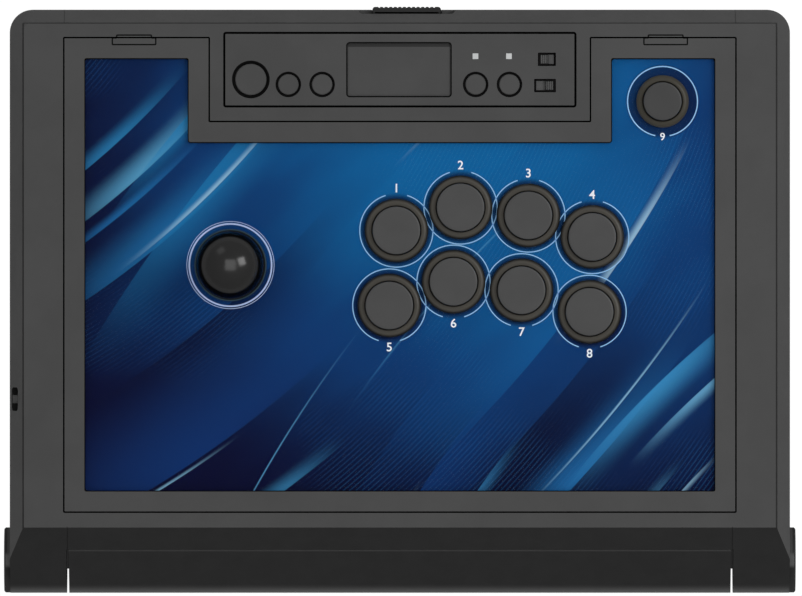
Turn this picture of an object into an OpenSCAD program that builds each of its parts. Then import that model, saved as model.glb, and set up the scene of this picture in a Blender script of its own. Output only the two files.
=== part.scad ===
// Arcade fight stick: a clamshell case that opens on a front hinge, with a
// ball-top lever, eight face buttons, one option button and a row of small
// controls. +X is to the player's right, -Y is towards the player, +Z is up.

/* [Case] */
// Width across the side walls
case_w = 410; // [404:1:430]
// Depth from the front nose to the back wall
case_d = 306.7; // [304:0.1:320]
// Height of the flat top above the ground
case_h = 64; // [63:0.5:68]
// Wall of both case halves
wall_t = 2.6; // [2:0.1:3]
// Thickness of the top wall
top_t = 3; // [2.5:0.1:3.5]
// Thickness of the tray floor
floor_t = 2.5; // [2:0.1:3.5]
// Height of the joint between the case halves
part_z = 30; // [29:0.5:31]
// Height of the slanted side and back facets
facet_drop = 18.2; // [17:0.1:20]
// Width that a facet takes at the top edge
facet_in = 7.2; // [6:0.1:8]
// Radius of the two back corners
corner_r = 12.1; // [11.5:0.1:16]
// Distance from the nose to the front edge of the top
front_run = 34.8; // [32:0.1:37]
// Thickness of the mat under the case
mat_t = 2; // [1.5:0.1:3]

/* [Front hinge] */
// Radius of the hinge barrel along the front
hinge_r = 17.3; // [16.5:0.1:18]
// Radius of the seam between the base nose and the lid slope
seam_r = 31.6; // [30:0.1:33]
// Distance from a side wall to the base nose between the lid arms
arm_w = 31; // [27:0.5:35]
// Gap between the base nose and a lid arm
nose_gap = 1.2; // [0.8:0.1:2]
// Radius of a hinge pin
pin_r = 4.4; // [3:0.1:5]
// Thickness of a round hinge cap
cap_t = 3.2; // [2:0.1:4]

/* [Panel] */
// Distance from a side wall to the bezel frame
bezel_side_gap = 28.8; // [27:0.1:30]
// Distance from the top's front edge to the bezel
bezel_front_gap = 8.2; // [6:0.1:10]
// Distance from the back wall to the bezel
bezel_back_gap = 15; // [14:0.1:17]
// Distance from the control strip to the bezel's notch round it
notch_gap = 8.35; // [7:0.05:10]
// Width of the bezel rim round the window
bezel_rim = 10.6; // [9:0.1:12]
// Thickness of the clear panel
clear_t = 1.5; // [1:0.1:2]
// Thickness of the printed sheet
sheet_t = 0.3; // [0.2:0.05:0.5]
// Thickness of the steel mounting plate
plate_t = 1.6; // [1.2:0.1:2]

/* [Lever] */
// Place of the lever across the window, as a share of its half width
lever_x_share = -0.537; // [-0.57:0.001:-0.52]
// Place of the lever along the window, as a share of its depth
lever_y_share = 0.648; // [0.6:0.001:0.68]
// Radius of the ball top
ball_r = 17.5; // [15:0.1:19]
// Height of the ball's top above the panel top
ball_rise = 58; // [52:0.5:64]
// Depth of the lever pivot under the panel top
pivot_drop = 16; // [15:0.5:17]
// Radius of the lever shaft
shaft_r = 4.75; // [4:0.05:5]
// Radius of the dust washer
washer_r = 19; // [18:0.1:20]
// Largest tilt of the lever in degrees
lever_tilt = 8.5; // [7:0.1:8.5]

/* [Buttons] */
// Pitch that the button pattern is laid out on
button_pitch = 36; // [35.7:0.1:38]
// Place of the first button across the window, as a share of its half width
cluster_x_share = -0.011; // [-0.03:0.001:0.01]
// Place of the first button along the window, as a share of its depth
cluster_y_share = 0.747; // [0.72:0.001:0.77]
// Radius of a face button's rim
rim_r = 16.8; // [16.2:0.1:17]
// Radius of a face button's plunger
plunger_r = 12.6; // [12:0.1:13]
// Radius of a face button's barrel
barrel_r = 14.9; // [14.5:0.1:15]
// Travel of a face button
button_travel = 3; // [2:0.1:3.2]
// Distance from the bezel's side to the option button
option_side_gap = 38.3; // [36:0.1:40]
// Distance from the bezel's back edge to the option button
option_back_gap = 33.3; // [32:0.1:36]
// Radius of the option button's rim
option_rim_r = 13.75; // [13:0.1:14]
// Radius of the option button's plunger
option_plunger_r = 10.1; // [9.6:0.1:10.2]

/* [Control strip] */
// Width of the control strip
strip_w = 183.8; // [181:0.1:186]
// Depth of the control strip
strip_d = 38.1; // [37.5:0.1:39]
// Distance from the back wall to the control strip
strip_back_gap = 12.6; // [12:0.1:14]
// Thickness of the control strip
strip_t = 1.5; // [1.2:0.1:1.8]
// Width of the touch pad
pad_w = 54.5; // [52:0.1:56]
// Depth of the touch pad
pad_d = 28.1; // [26:0.1:29]
// Radius of the large round button
home_r = 8.15; // [7.5:0.05:8.5]
// Radius of a small round button
small_r = 5.35; // [4.8:0.05:5.5]
// Travel of the round buttons
small_travel = 1; // [0.6:0.1:1]

/* [Latch] */
// Width of the release latch
latch_w = 36; // [32:0.5:38]
// Place of the latch along the back
latch_x = 3.6; // [-5:0.1:10]
// Distance that the latch stands out of the back wall
latch_proud = 1.5; // [1:0.1:2]
// Travel of the latch
latch_travel = 3; // [2:0.1:3.2]

/* [Sockets] */
// Distance from the nose to the headset jack in the left side
jack_run = 102.1; // [84:0.1:114]
// Radius of the headset jack's bore
jack_r = 1.8; // [1.75:0.01:1.85]
// Place of the cable socket along the back
usb_x = 60; // [50:0.5:80]
// Height of the cable socket's centre
usb_z = 38.4; // [38:0.1:39]

/* [Hidden] */
$fn = 72;

// Overrun of every cut
over = 1;
// Gap between pieces that slide past or fit into each other
slip = 0.3;
// Running gap of a pin or shaft in its bore
fit = 0.05;

// Body outline
front_y = -(case_d + latch_proud) / 2;
back_y = front_y + case_d;
knee_z = case_h - facet_drop;
hinge_lift = 0.2;
axis_y = front_y + hinge_r;
axis_z = mat_t + hinge_lift + hinge_r;
edge_y = front_y + front_run;
edge_dy = edge_y - axis_y;
edge_dz = case_h - axis_z;
slope_a = atan(edge_dy / edge_dz) + asin(hinge_r / sqrt(edge_dy * edge_dy + edge_dz * edge_dz));
tray_z = mat_t + floor_t;
mat_inset = 6;
seam_line_w = 0.4;
seam_line_d = 0.3;
seam_gap = 0.5;
nose_half = case_w / 2 - arm_w;
arm_in = nose_half + nose_gap;
arm_gap = 0.6;
pin_flange_r = 6.5;
pin_flange_t = 2;
pin_boss_r = 7.5;
cap_gap = 0.15;
cap_bevel = 0.8;
lip_t = 1.6;
lip_h = 2.5;
lip_root = 3;
lip_gap = 0.4;
lip_front = front_run + hinge_r;
rib_h = 5;
rib_t = 1.8;
rib_x_shares = [-0.62, -0.31, 0, 0.31, 0.62];
rib_y_shares = [-0.5, 0, 0.5];

// Heights of the panel stack
bezel_lip_t = 1.5;
clear_top = case_h - bezel_lip_t;
sheet_z = clear_top - clear_t;
print_gap = 0.05;
plate_top = sheet_z - sheet_t;
plate_z = plate_top - plate_t;
shelf_t = 3;
shelf_z = plate_z - shelf_t;
shelf_w = 9;
under_top = case_h - top_t;

// Panel outline, the notch for the control strip and the window
strip_y1 = back_y - strip_back_gap;
strip_cy = strip_y1 - strip_d / 2;
bezel_w = case_w - 2 * bezel_side_gap;
bezel_y0 = edge_y + bezel_front_gap;
bezel_y1 = back_y - bezel_back_gap;
notch_w = strip_w + 2 * notch_gap;
notch_d = bezel_y1 - strip_y1 + strip_d + notch_gap;
window_half = bezel_w / 2 - bezel_rim;
window_y0 = bezel_y0 + bezel_rim;
window_d = bezel_y1 - notch_d - bezel_rim - window_y0;
bezel_corner = 1;
panel_lip = 4;
well_gap = 0.4;
clip_side_share = 0.517;
clip_x = notch_w / 2 + clip_side_share * (bezel_w - notch_w) / 2;
clip_w = 22.8;
clip_d = 3.5;
clip_tab_w = 18.2;
clip_tab_d = 1.5;
clip_t = 1.5;
plate_screw_r = 1.5;
plate_head_r = 3;
plate_screw_in = 4.5;
plate_screw_l = 8;
screw_x_shares = [-0.92, -0.45, 0, 0.45, 0.92];
screw_side_shares = [-0.45, 0.1, 0.62];

// Buttons
button_place_shares = [[0, 0], [0.936, 0.336], [1.925, 0.219], [2.856, -0.094],
    [-0.103, -1.094], [0.833, -0.747], [1.825, -0.872], [2.817, -1.186]];
cluster_x = cluster_x_share * window_half;
cluster_y = window_y0 + cluster_y_share * window_d;
option_x = bezel_w / 2 - option_side_gap;
option_y = bezel_y1 - option_back_gap;
button_places = [for (s = button_place_shares) [cluster_x, cluster_y] + s * button_pitch];
rim_h = 2.6;
rim_bevel = 1.4;
rim_bevel_h = 1;
hole_gap = 0.2;
bore_wall = barrel_r - plunger_r - slip;
barrel_floor_t = 2;
barrel_drop = 24;
plunger_rise = 3.2;
plunger_t = 7;
plunger_bevel = 0.7;
stem_r = 2;
stem_lift = 0.1;
nut_h = 4;
nut_w = 2.2;
nut_gap = 0.1;
switch_l = 20;
switch_w = 6.4;
switch_h = 10;
option_barrel_r = option_plunger_r + slip + bore_wall;

// Control strip
strip_gap = 0.5;
strip_groove_d = 0.9;
strip_corner = 0.7;
pad_corner = 1.4;
home_share = [-0.851, -0.27];
share_share = [-0.637, -0.407];
function_share = [-0.444, -0.407];
aux_left_share = [0.433, -0.407];
aux_right_share = [0.626, -0.407];
lens_shares = [[0.432, 0.37], [0.623, 0.37]];
lock_share = [0.84, 0.286];
mode_share = [0.829, -0.438];
pad_share = [-0.005, 0];
home_ring_w = 1.3;
small_ring_w = 1;
ring_depth = 0.7;
cap_rise = 0.7;
cap_dome = 0.4;
flange_w = 0.8;
flange_t = 1.4;
pad_sink = 0.6;
pad_t = 2;
pad_travel = 0.4;
lens_w = 3;
lens_gap = 0.1;
slot_d = 6.7;
lock_slot_w = 9.1;
mode_slot_w = 11.1;
knob_w = 5;
knob_rise = 0.3;
knob_ribs = 4;
rib_cut = 0.5;
board_t = 1.6;
tact_w = 6;
tact_h = 2.4;
tact_stem_h = 1.2;
tact_stem_r = 1.75;
tact_gap = 0.2;
cap_bottom = under_top - slip - flange_t;
tact_top = cap_bottom - small_travel - tact_gap;
board_top = tact_top - tact_h - tact_stem_h;
board_z = board_top - board_t;
board_inset = 2;
post_r = 2.5;
post_x_share = 0.95;
post_y_share = 0.8;
slider_gap = 0.2;

// Sockets
jack_height_share = 0.38;
jack_y = front_y + jack_run;
jack_z = knee_z + jack_height_share * facet_drop;
jack_pocket_l = 12.4;
jack_pocket_h = 8.3;
jack_pocket_r = 2;
jack_face_in = 4.8;
jack_liner_t = 1.5;
jack_barrel_r = 3;
jack_body_l = 14;
jack_body_w = 7;
jack_body_h = 6;
main_board_w = 70;
main_board_d = 60;
main_board_x0 = -case_w / 2 + jack_face_in + jack_liner_t;
main_board_z = jack_z - jack_body_h / 2 - board_t;
chip_w = 12;
chip_h = 1.2;
usb_recess_w = 14;
usb_recess_h = 8;
usb_recess_l = 6;
usb_liner_t = 1.6;
usb_shell_w = 9;
usb_shell_h = 3.2;
usb_shell_l = 8;
usb_wall_t = 0.4;
usb_tongue_w = 6;
usb_tongue_t = 0.8;
usb_board_w = 18;
usb_board_l = 16;

// Latch
scoop_w = 50.5;
scoop_z = 44;
scoop_r = 2;
scoop_liner_t = 2.2;
latch_z0 = 33.5;
latch_z1 = 48;
latch_t = 3.7;
latch_gap = 0.4;
scoop_d = latch_t - latch_proud;
pocket_d = scoop_d + latch_travel + 2 * latch_gap;
latch_ribs = 13;
latch_rib_d = 0.5;
stem_w = 26;
stem_z0 = 35;
stem_z1 = 41;
hook_w = 14;
hook_t = 3;
hook_nose_l = 3.4;
hook_z = 21;
hook_nose_h = 3;
strike_lip_z = hook_z + hook_nose_h + slip;
strike_t = 2;
strike_w = 18;
strike_h = 14;
latch_spring_r = 3;
latch_spring_wire = 0.6;
latch_spring_solid = 5;
latch_spring_l = latch_spring_solid + latch_travel;
guide_t = 2;
guide_hanger_l = 3;

// Lever
lever_x = lever_x_share * window_half;
lever_y = window_y0 + lever_y_share * window_d;
pivot_z = case_h - pivot_drop;
ball_z = case_h + ball_rise - ball_r;
ball_bore_l = 12;
ball_flat_cut = 0.55;
cover_r = 5.5;
cover_low = 7.2;
plate_hole_r = 12;
lever_plate_w = 95;
lever_plate_d = 53;
lever_plate_t = 1.6;
lever_plate_z = plate_z - lever_plate_t;
lever_screw_x_share = 0.88;
lever_screw_y_share = 0.74;
housing_w = 60;
housing_t = 2.2;
housing_z = 26;
housing_seat_r = 21.5;
housing_seat_h = 1.4;
pivot_block_w = 4;
pivot_block_h = 9;
ring_out_r = 13;
ring_h = 7;
pivot_ball_r = 8.5;
trunnion_r = 2.5;
cross_pin_r = 1.5;
cross_pin_in = 0.4;
gate_t = 3;
gate_z = housing_z - gate_t;
gate_gap = 0.5;
shaft_tail = 0.5;
shaft_bottom = gate_z - shaft_tail;
gate_half = shaft_r + (pivot_z - shaft_bottom) * tan(lever_tilt) + gate_gap;
actuator_r = 7;
actuator_top = 37;
clip_z = 27.4;
clip_h = 0.8;
clip_r = 6.5;
spring_r = 7.2;
spring_in_r = 5.4;
spring_gap = 0.3;
lever_switch_in = 10.3;
lever_switch_w = 6.3;
washer_t = 1;
washer_lift = 0.3;
washer_bore_gap = 0.6;
lower_washer_r = 17;
lower_washer_t = 0.8;
lower_bore_r = 8.6;

// Corner points of a square-cornered outline, each corner turned into an arc
function unit(v) = v / norm(v);
function corner_arc(a, p, b, r, n) = let (u = unit(a - p), v = unit(b - p))
    [for (k = [0:n]) p + r * (u + v) - r * (v * cos(90 * k / n) + u * sin(90 * k / n))];
function rounded(pts, r, n = 6) = [for (i = [0:len(pts) - 1])
    each corner_arc(pts[(i + len(pts) - 1) % len(pts)], pts[i], pts[(i + 1) % len(pts)], r, n)];
function rect_points(w, d) = [[-w / 2, -d / 2], [w / 2, -d / 2], [w / 2, d / 2], [-w / 2, d / 2]];
function frame_points(g) = let (half = bezel_w / 2 + g, nook = notch_w / 2 - g,
    low = bezel_y0 - g, high = bezel_y1 + g, step_y = bezel_y1 - notch_d + g)
    [[-half, low], [half, low], [half, high], [nook, high],
    [nook, step_y], [-nook, step_y], [-nook, high], [-half, high]];
function strip_place(s) = [s[0] * strip_w / 2, strip_cy + s[1] * strip_d / 2];

module block(x0, x1, y0, y1, z0, z1) {
    translate([x0, y0, z0])
    cube([x1 - x0, y1 - y0, z1 - z0]);
}

module post(place, z0, z1, r) {
    translate([place[0], place[1], z0])
    cylinder(r = r, h = z1 - z0);
}

module taper(place, z0, z1, r0, r1) {
    translate([place[0], place[1], z0])
    cylinder(r1 = r0, r2 = r1, h = z1 - z0);
}

module rod_x(x0, x1, y, z, r) {
    translate([x0, y, z])
    rotate([0, 90, 0])
    cylinder(r = r, h = x1 - x0);
}

module rod_y(y0, y1, x, z, r) {
    translate([x, y0, z])
    rotate([-90, 0, 0])
    cylinder(r = r, h = y1 - y0);
}

module slab(z0, z1) {
    translate([0, 0, z0])
    linear_extrude(z1 - z0)
    children();
}

module both_sides() {
    children();
    mirror([1, 0, 0])
    children();
}

module rounded_rect(w, d, r) {
    polygon(rounded(rect_points(w, d), r));
}

module frame_area(g) {
    polygon(rounded(frame_points(g), bezel_corner));
}

// Body outline seen from above, drawn in by t
module plan2d(t) {
    half = case_w / 2 - t;
    back = back_y - t;
    r = corner_r - t;
    translate([-half, front_y - over])
    square([2 * half, back - r - front_y + over]);
    translate([r - half, front_y - over])
    square([2 * (half - r), back - front_y + over]);
    for (side = [-1, 1])
        translate([side * (half - r), back - r])
        circle(r);
}

// Sides, back and facets of the body, drawn in by t
module plan_form(t) {
    half = case_w / 2 - t;
    back = back_y - t;
    r = corner_r - t;
    linear_extrude(knee_z)
    plan2d(t);
    translate([0, back - r, 0])
    rotate([90, 0, 0])
    linear_extrude(back - r - front_y + over)
    polygon([[-half, knee_z], [half, knee_z], [half - facet_in, case_h], [facet_in - half, case_h]]);
    translate([r - half, 0, 0])
    rotate([90, 0, 90])
    linear_extrude(2 * (half - r))
    polygon([[front_y - over, knee_z], [back, knee_z], [back - facet_in, case_h], [front_y - over, case_h]]);
    for (side = [-1, 1])
        taper([side * (half - r), back - r], knee_z, case_h, r, r - facet_in);
}

// Nose, slope and flat top seen from the side, drawn in by t
module profile2d(t) {
    r = hinge_r - t;
    translate([axis_y, axis_z])
    circle(r);
    polygon([[axis_y, mat_t], [axis_y, axis_z],
        [axis_y - r * cos(slope_a), axis_z + r * sin(slope_a)],
        [edge_y + t / cos(slope_a), case_h], [back_y + over, case_h], [back_y + over, mat_t]]);
}

module body_form(t) {
    intersection() {
        plan_form(t);
        translate([-case_w / 2 - over, 0, 0])
        rotate([90, 0, 90])
        linear_extrude(case_w + 2 * over)
        profile2d(t);
    }
}

module shell() {
    difference() {
        body_form(0);
        intersection() {
            body_form(wall_t);
            block(-case_w / 2, case_w / 2, front_y, back_y, tray_z, under_top);
        }
    }
}

module hinge_rod(x0, x1, r) {
    rod_x(x0, x1, axis_y, axis_z, r);
}

module whole_block(z0, z1) {
    block(-case_w / 2 - over, case_w / 2 + over, front_y - over, back_y + over, z0, z1);
}

// Ring just inside the wall that keeps the two halves in line
module lip_ring(t0, t1, z0, z1) {
    slab(z0, z1)
    difference() {
        intersection() {
            plan2d(t0);
            translate([-case_w / 2, front_y + lip_front])
            square([case_w, case_d]);
        }
        plan2d(t1);
    }
}

// Region that the base half fills
module base_zone() {
    difference() {
        union() {
            whole_block(0, part_z);
            hinge_rod(-nose_half, nose_half, seam_r);
        }
        both_sides() {
            hinge_rod(nose_half, case_w / 2 + over, hinge_r + arm_gap);
            block(nose_half, case_w / 2 + over, front_y - over, axis_y, 0, part_z + over);
        }
    }
}

// Region that the lid half fills
module lid_zone() {
    difference() {
        union() {
            whole_block(part_z + slip, case_h + over);
            both_sides()
            hinge_rod(arm_in, case_w / 2 + over, hinge_r);
        }
        hinge_rod(-arm_in, arm_in, seam_r + seam_gap);
    }
}

module nose_ends() {
    intersection() {
        body_form(0);
        both_sides()
        hinge_rod(nose_half - wall_t, nose_half, seam_r);
    }
}

module arm_wells() {
    intersection() {
        body_form(0);
        block(-case_w / 2, case_w / 2, axis_y, back_y, mat_t, part_z);
        both_sides()
        difference() {
            hinge_rod(nose_half - wall_t, case_w / 2, hinge_r + arm_gap + wall_t);
            hinge_rod(nose_half - wall_t - over, case_w / 2 + over, hinge_r + arm_gap);
        }
    }
}

module tray_ribs() {
    rib_y0 = axis_y + seam_r;
    rib_y1 = back_y - wall_t;
    for (s = rib_x_shares)
        block(s * case_w / 2 - rib_t / 2, s * case_w / 2 + rib_t / 2, rib_y0, rib_y1, tray_z, tray_z + rib_h);
    for (s = rib_y_shares) {
        rib_y = s * case_d / 2 + rib_t;
        block(wall_t - case_w / 2, case_w / 2 - wall_t, rib_y - rib_t / 2, rib_y + rib_t / 2,
            tray_z, tray_z + rib_h);
    }
}

module bottom_case() {
    color("#464646")
    difference() {
        union() {
            intersection() {
                shell();
                base_zone();
            }
            nose_ends();
            arm_wells();
            tray_ribs();
            lip_ring(wall_t - slip, wall_t + lip_gap + lip_t, part_z - lip_root, part_z - lip_gap);
            lip_ring(wall_t + lip_gap, wall_t + lip_gap + lip_t, part_z - lip_gap - slip, part_z + lip_h);
            both_sides()
            hinge_rod(nose_half - wall_t - pin_flange_t, nose_half, pin_boss_r);
        }
        both_sides()
        hinge_rod(nose_half - wall_t - pin_flange_t - over, nose_half + over, pin_r + fit);
    }
}

module base_mat() {
    color("#1c1c1c")
    slab(0, mat_t)
    intersection() {
        plan2d(mat_inset);
        translate([-case_w / 2, axis_y + mat_t])
        square([case_w, case_d]);
    }
}

module hinge_pins() {
    inner = nose_half - wall_t - pin_flange_t;
    color("#b8b8b8")
    both_sides() {
        hinge_rod(inner - pin_flange_t, case_w / 2 - wall_t / 2, pin_r);
        hinge_rod(inner - pin_flange_t, inner, pin_flange_r);
    }
}

// Inner face of the base's back wall, and where the hook's nose ends
strike_y = back_y - wall_t;
nose_tip_y = strike_y - strike_t - 2 * slip;
hook_y0 = nose_tip_y - hook_nose_l - hook_t;
guide_y = hook_y0 - latch_spring_l;

module latch_strike() {
    color("#a8a8a8") {
        block(latch_x - strike_w / 2, latch_x + strike_w / 2, strike_y - strike_t, strike_y,
            strike_lip_z + strike_t - strike_h, strike_lip_z + strike_t);
        block(latch_x - hook_w / 2, latch_x + hook_w / 2, nose_tip_y + slip, strike_y - strike_t + slip,
            strike_lip_z, strike_lip_z + strike_t);
    }
}

module arm_barrels() {
    both_sides()
    difference() {
        hinge_rod(arm_in, case_w / 2, hinge_r);
        difference() {
            hinge_rod(arm_in + wall_t, case_w / 2 - wall_t, hinge_r - wall_t);
            hinge_rod(arm_in + wall_t - over, case_w / 2 - wall_t + over, pin_boss_r);
        }
    }
    intersection() {
        body_form(0);
        whole_block(part_z + slip, case_h);
        both_sides()
        hinge_rod(arm_in, arm_in + wall_t, seam_r + seam_gap + wall_t);
    }
}

// Well and shelf that the mounting plate and the bezel drop into
module panel_well() {
    slab(shelf_z, under_top + over)
    difference() {
        frame_area(well_gap + wall_t);
        frame_area(well_gap);
    }
    slab(shelf_z, plate_z)
    difference() {
        frame_area(well_gap + wall_t / 2);
        frame_area(-shelf_w);
    }
}

module scoop_prism(grow, z0) {
    slab(z0, case_h + over)
    translate([latch_x, back_y])
    rounded_rect(scoop_w + 2 * grow, 2 * (scoop_d + grow), scoop_r);
}

module scoop_liner() {
    intersection() {
        body_form(0);
        scoop_prism(scoop_liner_t, scoop_z - scoop_liner_t);
    }
}

module latch_guide() {
    half = stem_w / 2 + slip;
    for (side = [-1, 1]) {
        mid = latch_x + side * (half + guide_t / 2);
        block(mid - guide_t / 2, mid + guide_t / 2, guide_y - guide_t, back_y - pocket_d,
            stem_z0, scoop_z);
        intersection() {
            body_form(wall_t / 2);
            block(mid - guide_t / 2, mid + guide_t / 2, back_y - pocket_d - guide_hanger_l,
                back_y - pocket_d, stem_z0, case_h);
        }
    }
    block(latch_x - half - guide_t, latch_x + half + guide_t, guide_y - guide_t, guide_y,
        stem_z0, scoop_z);
}

jack_face_x = jack_face_in - case_w / 2;

module jack_prism(grow, x0, x1) {
    translate([x0, jack_y, jack_z])
    rotate([90, 0, 90])
    linear_extrude(x1 - x0)
    rounded_rect(jack_pocket_l + 2 * grow, jack_pocket_h + 2 * grow, jack_pocket_r);
}

module jack_liner() {
    intersection() {
        body_form(0);
        jack_prism(jack_liner_t, -case_w / 2, jack_face_x + jack_liner_t);
    }
}

module usb_block(grow, y0, y1) {
    block(usb_x - usb_recess_w / 2 - grow, usb_x + usb_recess_w / 2 + grow, y0, y1,
        usb_z - usb_recess_h / 2 - grow, usb_z + usb_recess_h / 2 + grow);
}

module board_posts() {
    for (sx = [-1, 1], sy = [-1, 1])
        post([sx * post_x_share * strip_w / 2, strip_cy + sy * post_y_share * strip_d / 2],
            board_top, under_top + over, post_r);
}

function small_places() = [strip_place(share_share), strip_place(function_share),
    strip_place(aux_left_share), strip_place(aux_right_share)];

module strip_openings(z0, z1) {
    post(strip_place(home_share), z0, z1, home_r + slip);
    for (place = small_places())
        post(place, z0, z1, small_r + slip);
    slab(z0, z1) {
        translate(strip_place(pad_share))
        rounded_rect(pad_w + 2 * slip, pad_d + 2 * slip, pad_corner);
        for (s = lens_shares)
            translate(strip_place(s))
            square(lens_w + 2 * lens_gap, center = true);
        translate(strip_place(lock_share))
        square([lock_slot_w, slot_d], center = true);
        translate(strip_place(mode_share))
        square([mode_slot_w, slot_d], center = true);
    }
}

bezel_mid_y = (bezel_y0 + bezel_y1) / 2;
bezel_half_d = (bezel_y1 - bezel_y0) / 2;
function screw_places() = concat(
    [for (s = screw_x_shares) [s * bezel_w / 2, bezel_y0 + plate_screw_in]],
    [for (s = screw_side_shares, side = [-1, 1])
        [side * (bezel_w / 2 - plate_screw_in), bezel_mid_y + s * bezel_half_d]]);

// Grooves that go on from the slits over the slope and from the bezel to the back
module seam_lines() {
    middle = nose_half + nose_gap / 2;
    both_sides()
    difference() {
        union() {
            block(middle - seam_line_w / 2, middle + seam_line_w / 2, front_y - over, bezel_y0,
                part_z, case_h + over);
            block(bezel_w / 2 - seam_line_w / 2, bezel_w / 2 + seam_line_w / 2, bezel_y1, back_y + over,
                knee_z, case_h + over);
        }
        body_form(seam_line_d);
    }
}

module top_cuts() {
    seam_lines();
    slab(plate_z, case_h + over)
    frame_area(well_gap);
    for (side = [-1, 1])
        block(side * clip_x - clip_tab_w / 2 - lens_gap, side * clip_x + clip_tab_w / 2 + lens_gap,
            bezel_y1 - over, bezel_y1 + clip_tab_d + lens_gap, case_h - clip_t, case_h + over);
    for (place = screw_places())
        post(place, shelf_z - over, plate_z + over, plate_screw_r + fit);
    both_sides()
    hinge_rod(arm_in - over, case_w / 2 + over, pin_r + fit);
    slab(case_h - strip_t, case_h + over)
    translate([0, strip_cy])
    rounded_rect(strip_w + 2 * strip_gap, strip_d + 2 * strip_gap, strip_corner);
    slab(case_h - strip_t - strip_groove_d, case_h + over)
    translate([0, strip_cy])
    difference() {
        rounded_rect(strip_w + 2 * strip_gap, strip_d + 2 * strip_gap, strip_corner);
        rounded_rect(strip_w, strip_d, strip_corner);
    }
    strip_openings(under_top - over, case_h);
    scoop_prism(0, scoop_z);
    block(latch_x - latch_w / 2 - latch_gap, latch_x + latch_w / 2 + latch_gap, back_y - pocket_d,
        back_y + over, latch_z0 - latch_gap, latch_z1 + latch_gap);
    jack_prism(0, -case_w / 2 - over, jack_face_x);
    rod_x(-case_w / 2, jack_face_x + jack_liner_t + over, jack_y, jack_z, jack_barrel_r + slip);
    usb_block(0, back_y - usb_recess_l, back_y + over);
    block(usb_x - usb_shell_w / 2 - slip, usb_x + usb_shell_w / 2 + slip,
        back_y - usb_recess_l - 2 * usb_liner_t, back_y,
        usb_z - usb_shell_h / 2 - slip, usb_z + usb_shell_h / 2 + slip);
}

module top_case() {
    color("#484848")
    difference() {
        union() {
            intersection() {
                shell();
                lid_zone();
            }
            arm_barrels();
            panel_well();
            scoop_liner();
            latch_guide();
            jack_liner();
            intersection() {
                body_form(0);
                usb_block(usb_liner_t, back_y - usb_recess_l - usb_liner_t, back_y);
            }
            board_posts();
        }
        top_cuts();
    }
}

module hinge_caps() {
    color("#404040")
    both_sides() {
        hinge_rod(case_w / 2, case_w / 2 + cap_t - cap_bevel, hinge_r - cap_gap);
        translate([case_w / 2 + cap_t - cap_bevel, axis_y, axis_z])
        rotate([0, 90, 0])
        cylinder(r1 = hinge_r - cap_gap, r2 = hinge_r - cap_gap - cap_bevel, h = cap_bevel);
    }
}

module bezel_frame() {
    color("#3c3c3c")
    difference() {
        slab(plate_top, case_h)
        frame_area(0);
        slab(plate_top - over, clear_top)
        frame_area(panel_lip + well_gap - bezel_rim);
        slab(plate_top - over, case_h + over)
        frame_area(-bezel_rim);
        for (place = screw_places())
            post(place, plate_top - over, plate_top + slip, plate_head_r + slip);
        for (side = [-1, 1])
            block(side * clip_x - clip_w / 2 - lens_gap, side * clip_x + clip_w / 2 + lens_gap,
                bezel_y1 - clip_d - lens_gap, bezel_y1 + over, case_h - clip_t, case_h + over);
    }
}

module bezel_clips() {
    color("#404040")
    for (side = [-1, 1]) {
        block(side * clip_x - clip_w / 2, side * clip_x + clip_w / 2, bezel_y1 - clip_d, bezel_y1,
            case_h - clip_t, case_h);
        block(side * clip_x - clip_tab_w / 2, side * clip_x + clip_tab_w / 2, bezel_y1 - over,
            bezel_y1 + clip_tab_d, case_h - clip_t, case_h);
    }
}

// Holes for the lever, the face buttons and the option button
module panel_holes(z0, z1) {
    post([lever_x, lever_y], z0, z1, plate_hole_r);
    for (place = button_places)
        post(place, z0, z1, barrel_r + hole_gap);
    post([option_x, option_y], z0, z1, option_barrel_r + hole_gap);
}

module clear_panel() {
    color("#a8c8dc", 0.4)
    difference() {
        slab(sheet_z, clear_top)
        frame_area(panel_lip - bezel_rim);
        panel_holes(sheet_z - over, clear_top + over);
    }
}

module artwork_sheet() {
    color("#143c78")
    difference() {
        slab(plate_top, sheet_z - print_gap)
        frame_area(panel_lip - bezel_rim);
        panel_holes(plate_top - over, sheet_z + over);
    }
}

function lever_screws_at() = [for (sx = [-1, 1], sy = [-1, 1])
    [lever_x + sx * lever_screw_x_share * lever_plate_w / 2,
    lever_y + sy * lever_screw_y_share * lever_plate_d / 2]];
standoff_x0 = shelf_w - bezel_w / 2 + post_r + slip;
standoff_x1 = min(lever_x - lever_plate_w / 2, main_board_x0 + main_board_w) - post_r - slip;
function standoffs_at() = [for (x = [standoff_x0, standoff_x1], sy = [-1, 1])
    [x, jack_y + sy * (main_board_d - chip_w) / 2]];

module mounting_plate() {
    color("#9a9a9a")
    difference() {
        slab(plate_z, plate_top)
        frame_area(-slip);
        panel_holes(plate_z - over, plate_top + over);
        for (place = screw_places()) {
            post(place, plate_z - over, plate_top + over, plate_screw_r + fit);
            taper(place, plate_z, plate_top, plate_screw_r, plate_head_r);
        }
        for (place = lever_screws_at())
            post(place, plate_z - over, plate_top + over, plate_screw_r + fit);
    }
}

module plate_screws() {
    color("#c0c0c0")
    for (place = screw_places()) {
        post(place, plate_top - plate_screw_l, plate_z + fit, plate_screw_r);
        taper(place, plate_z, plate_top, plate_screw_r, plate_head_r);
    }
}

module control_strip() {
    color("#3e3e3e")
    difference() {
        slab(case_h - strip_t, case_h)
        translate([0, strip_cy])
        rounded_rect(strip_w, strip_d, strip_corner);
        strip_openings(case_h - strip_t - over, case_h + over);
        taper(strip_place(home_share), case_h - ring_depth, case_h, home_r + slip, home_r + home_ring_w);
        for (place = small_places())
            taper(place, case_h - ring_depth, case_h, small_r + slip, small_r + small_ring_w);
    }
}

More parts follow.
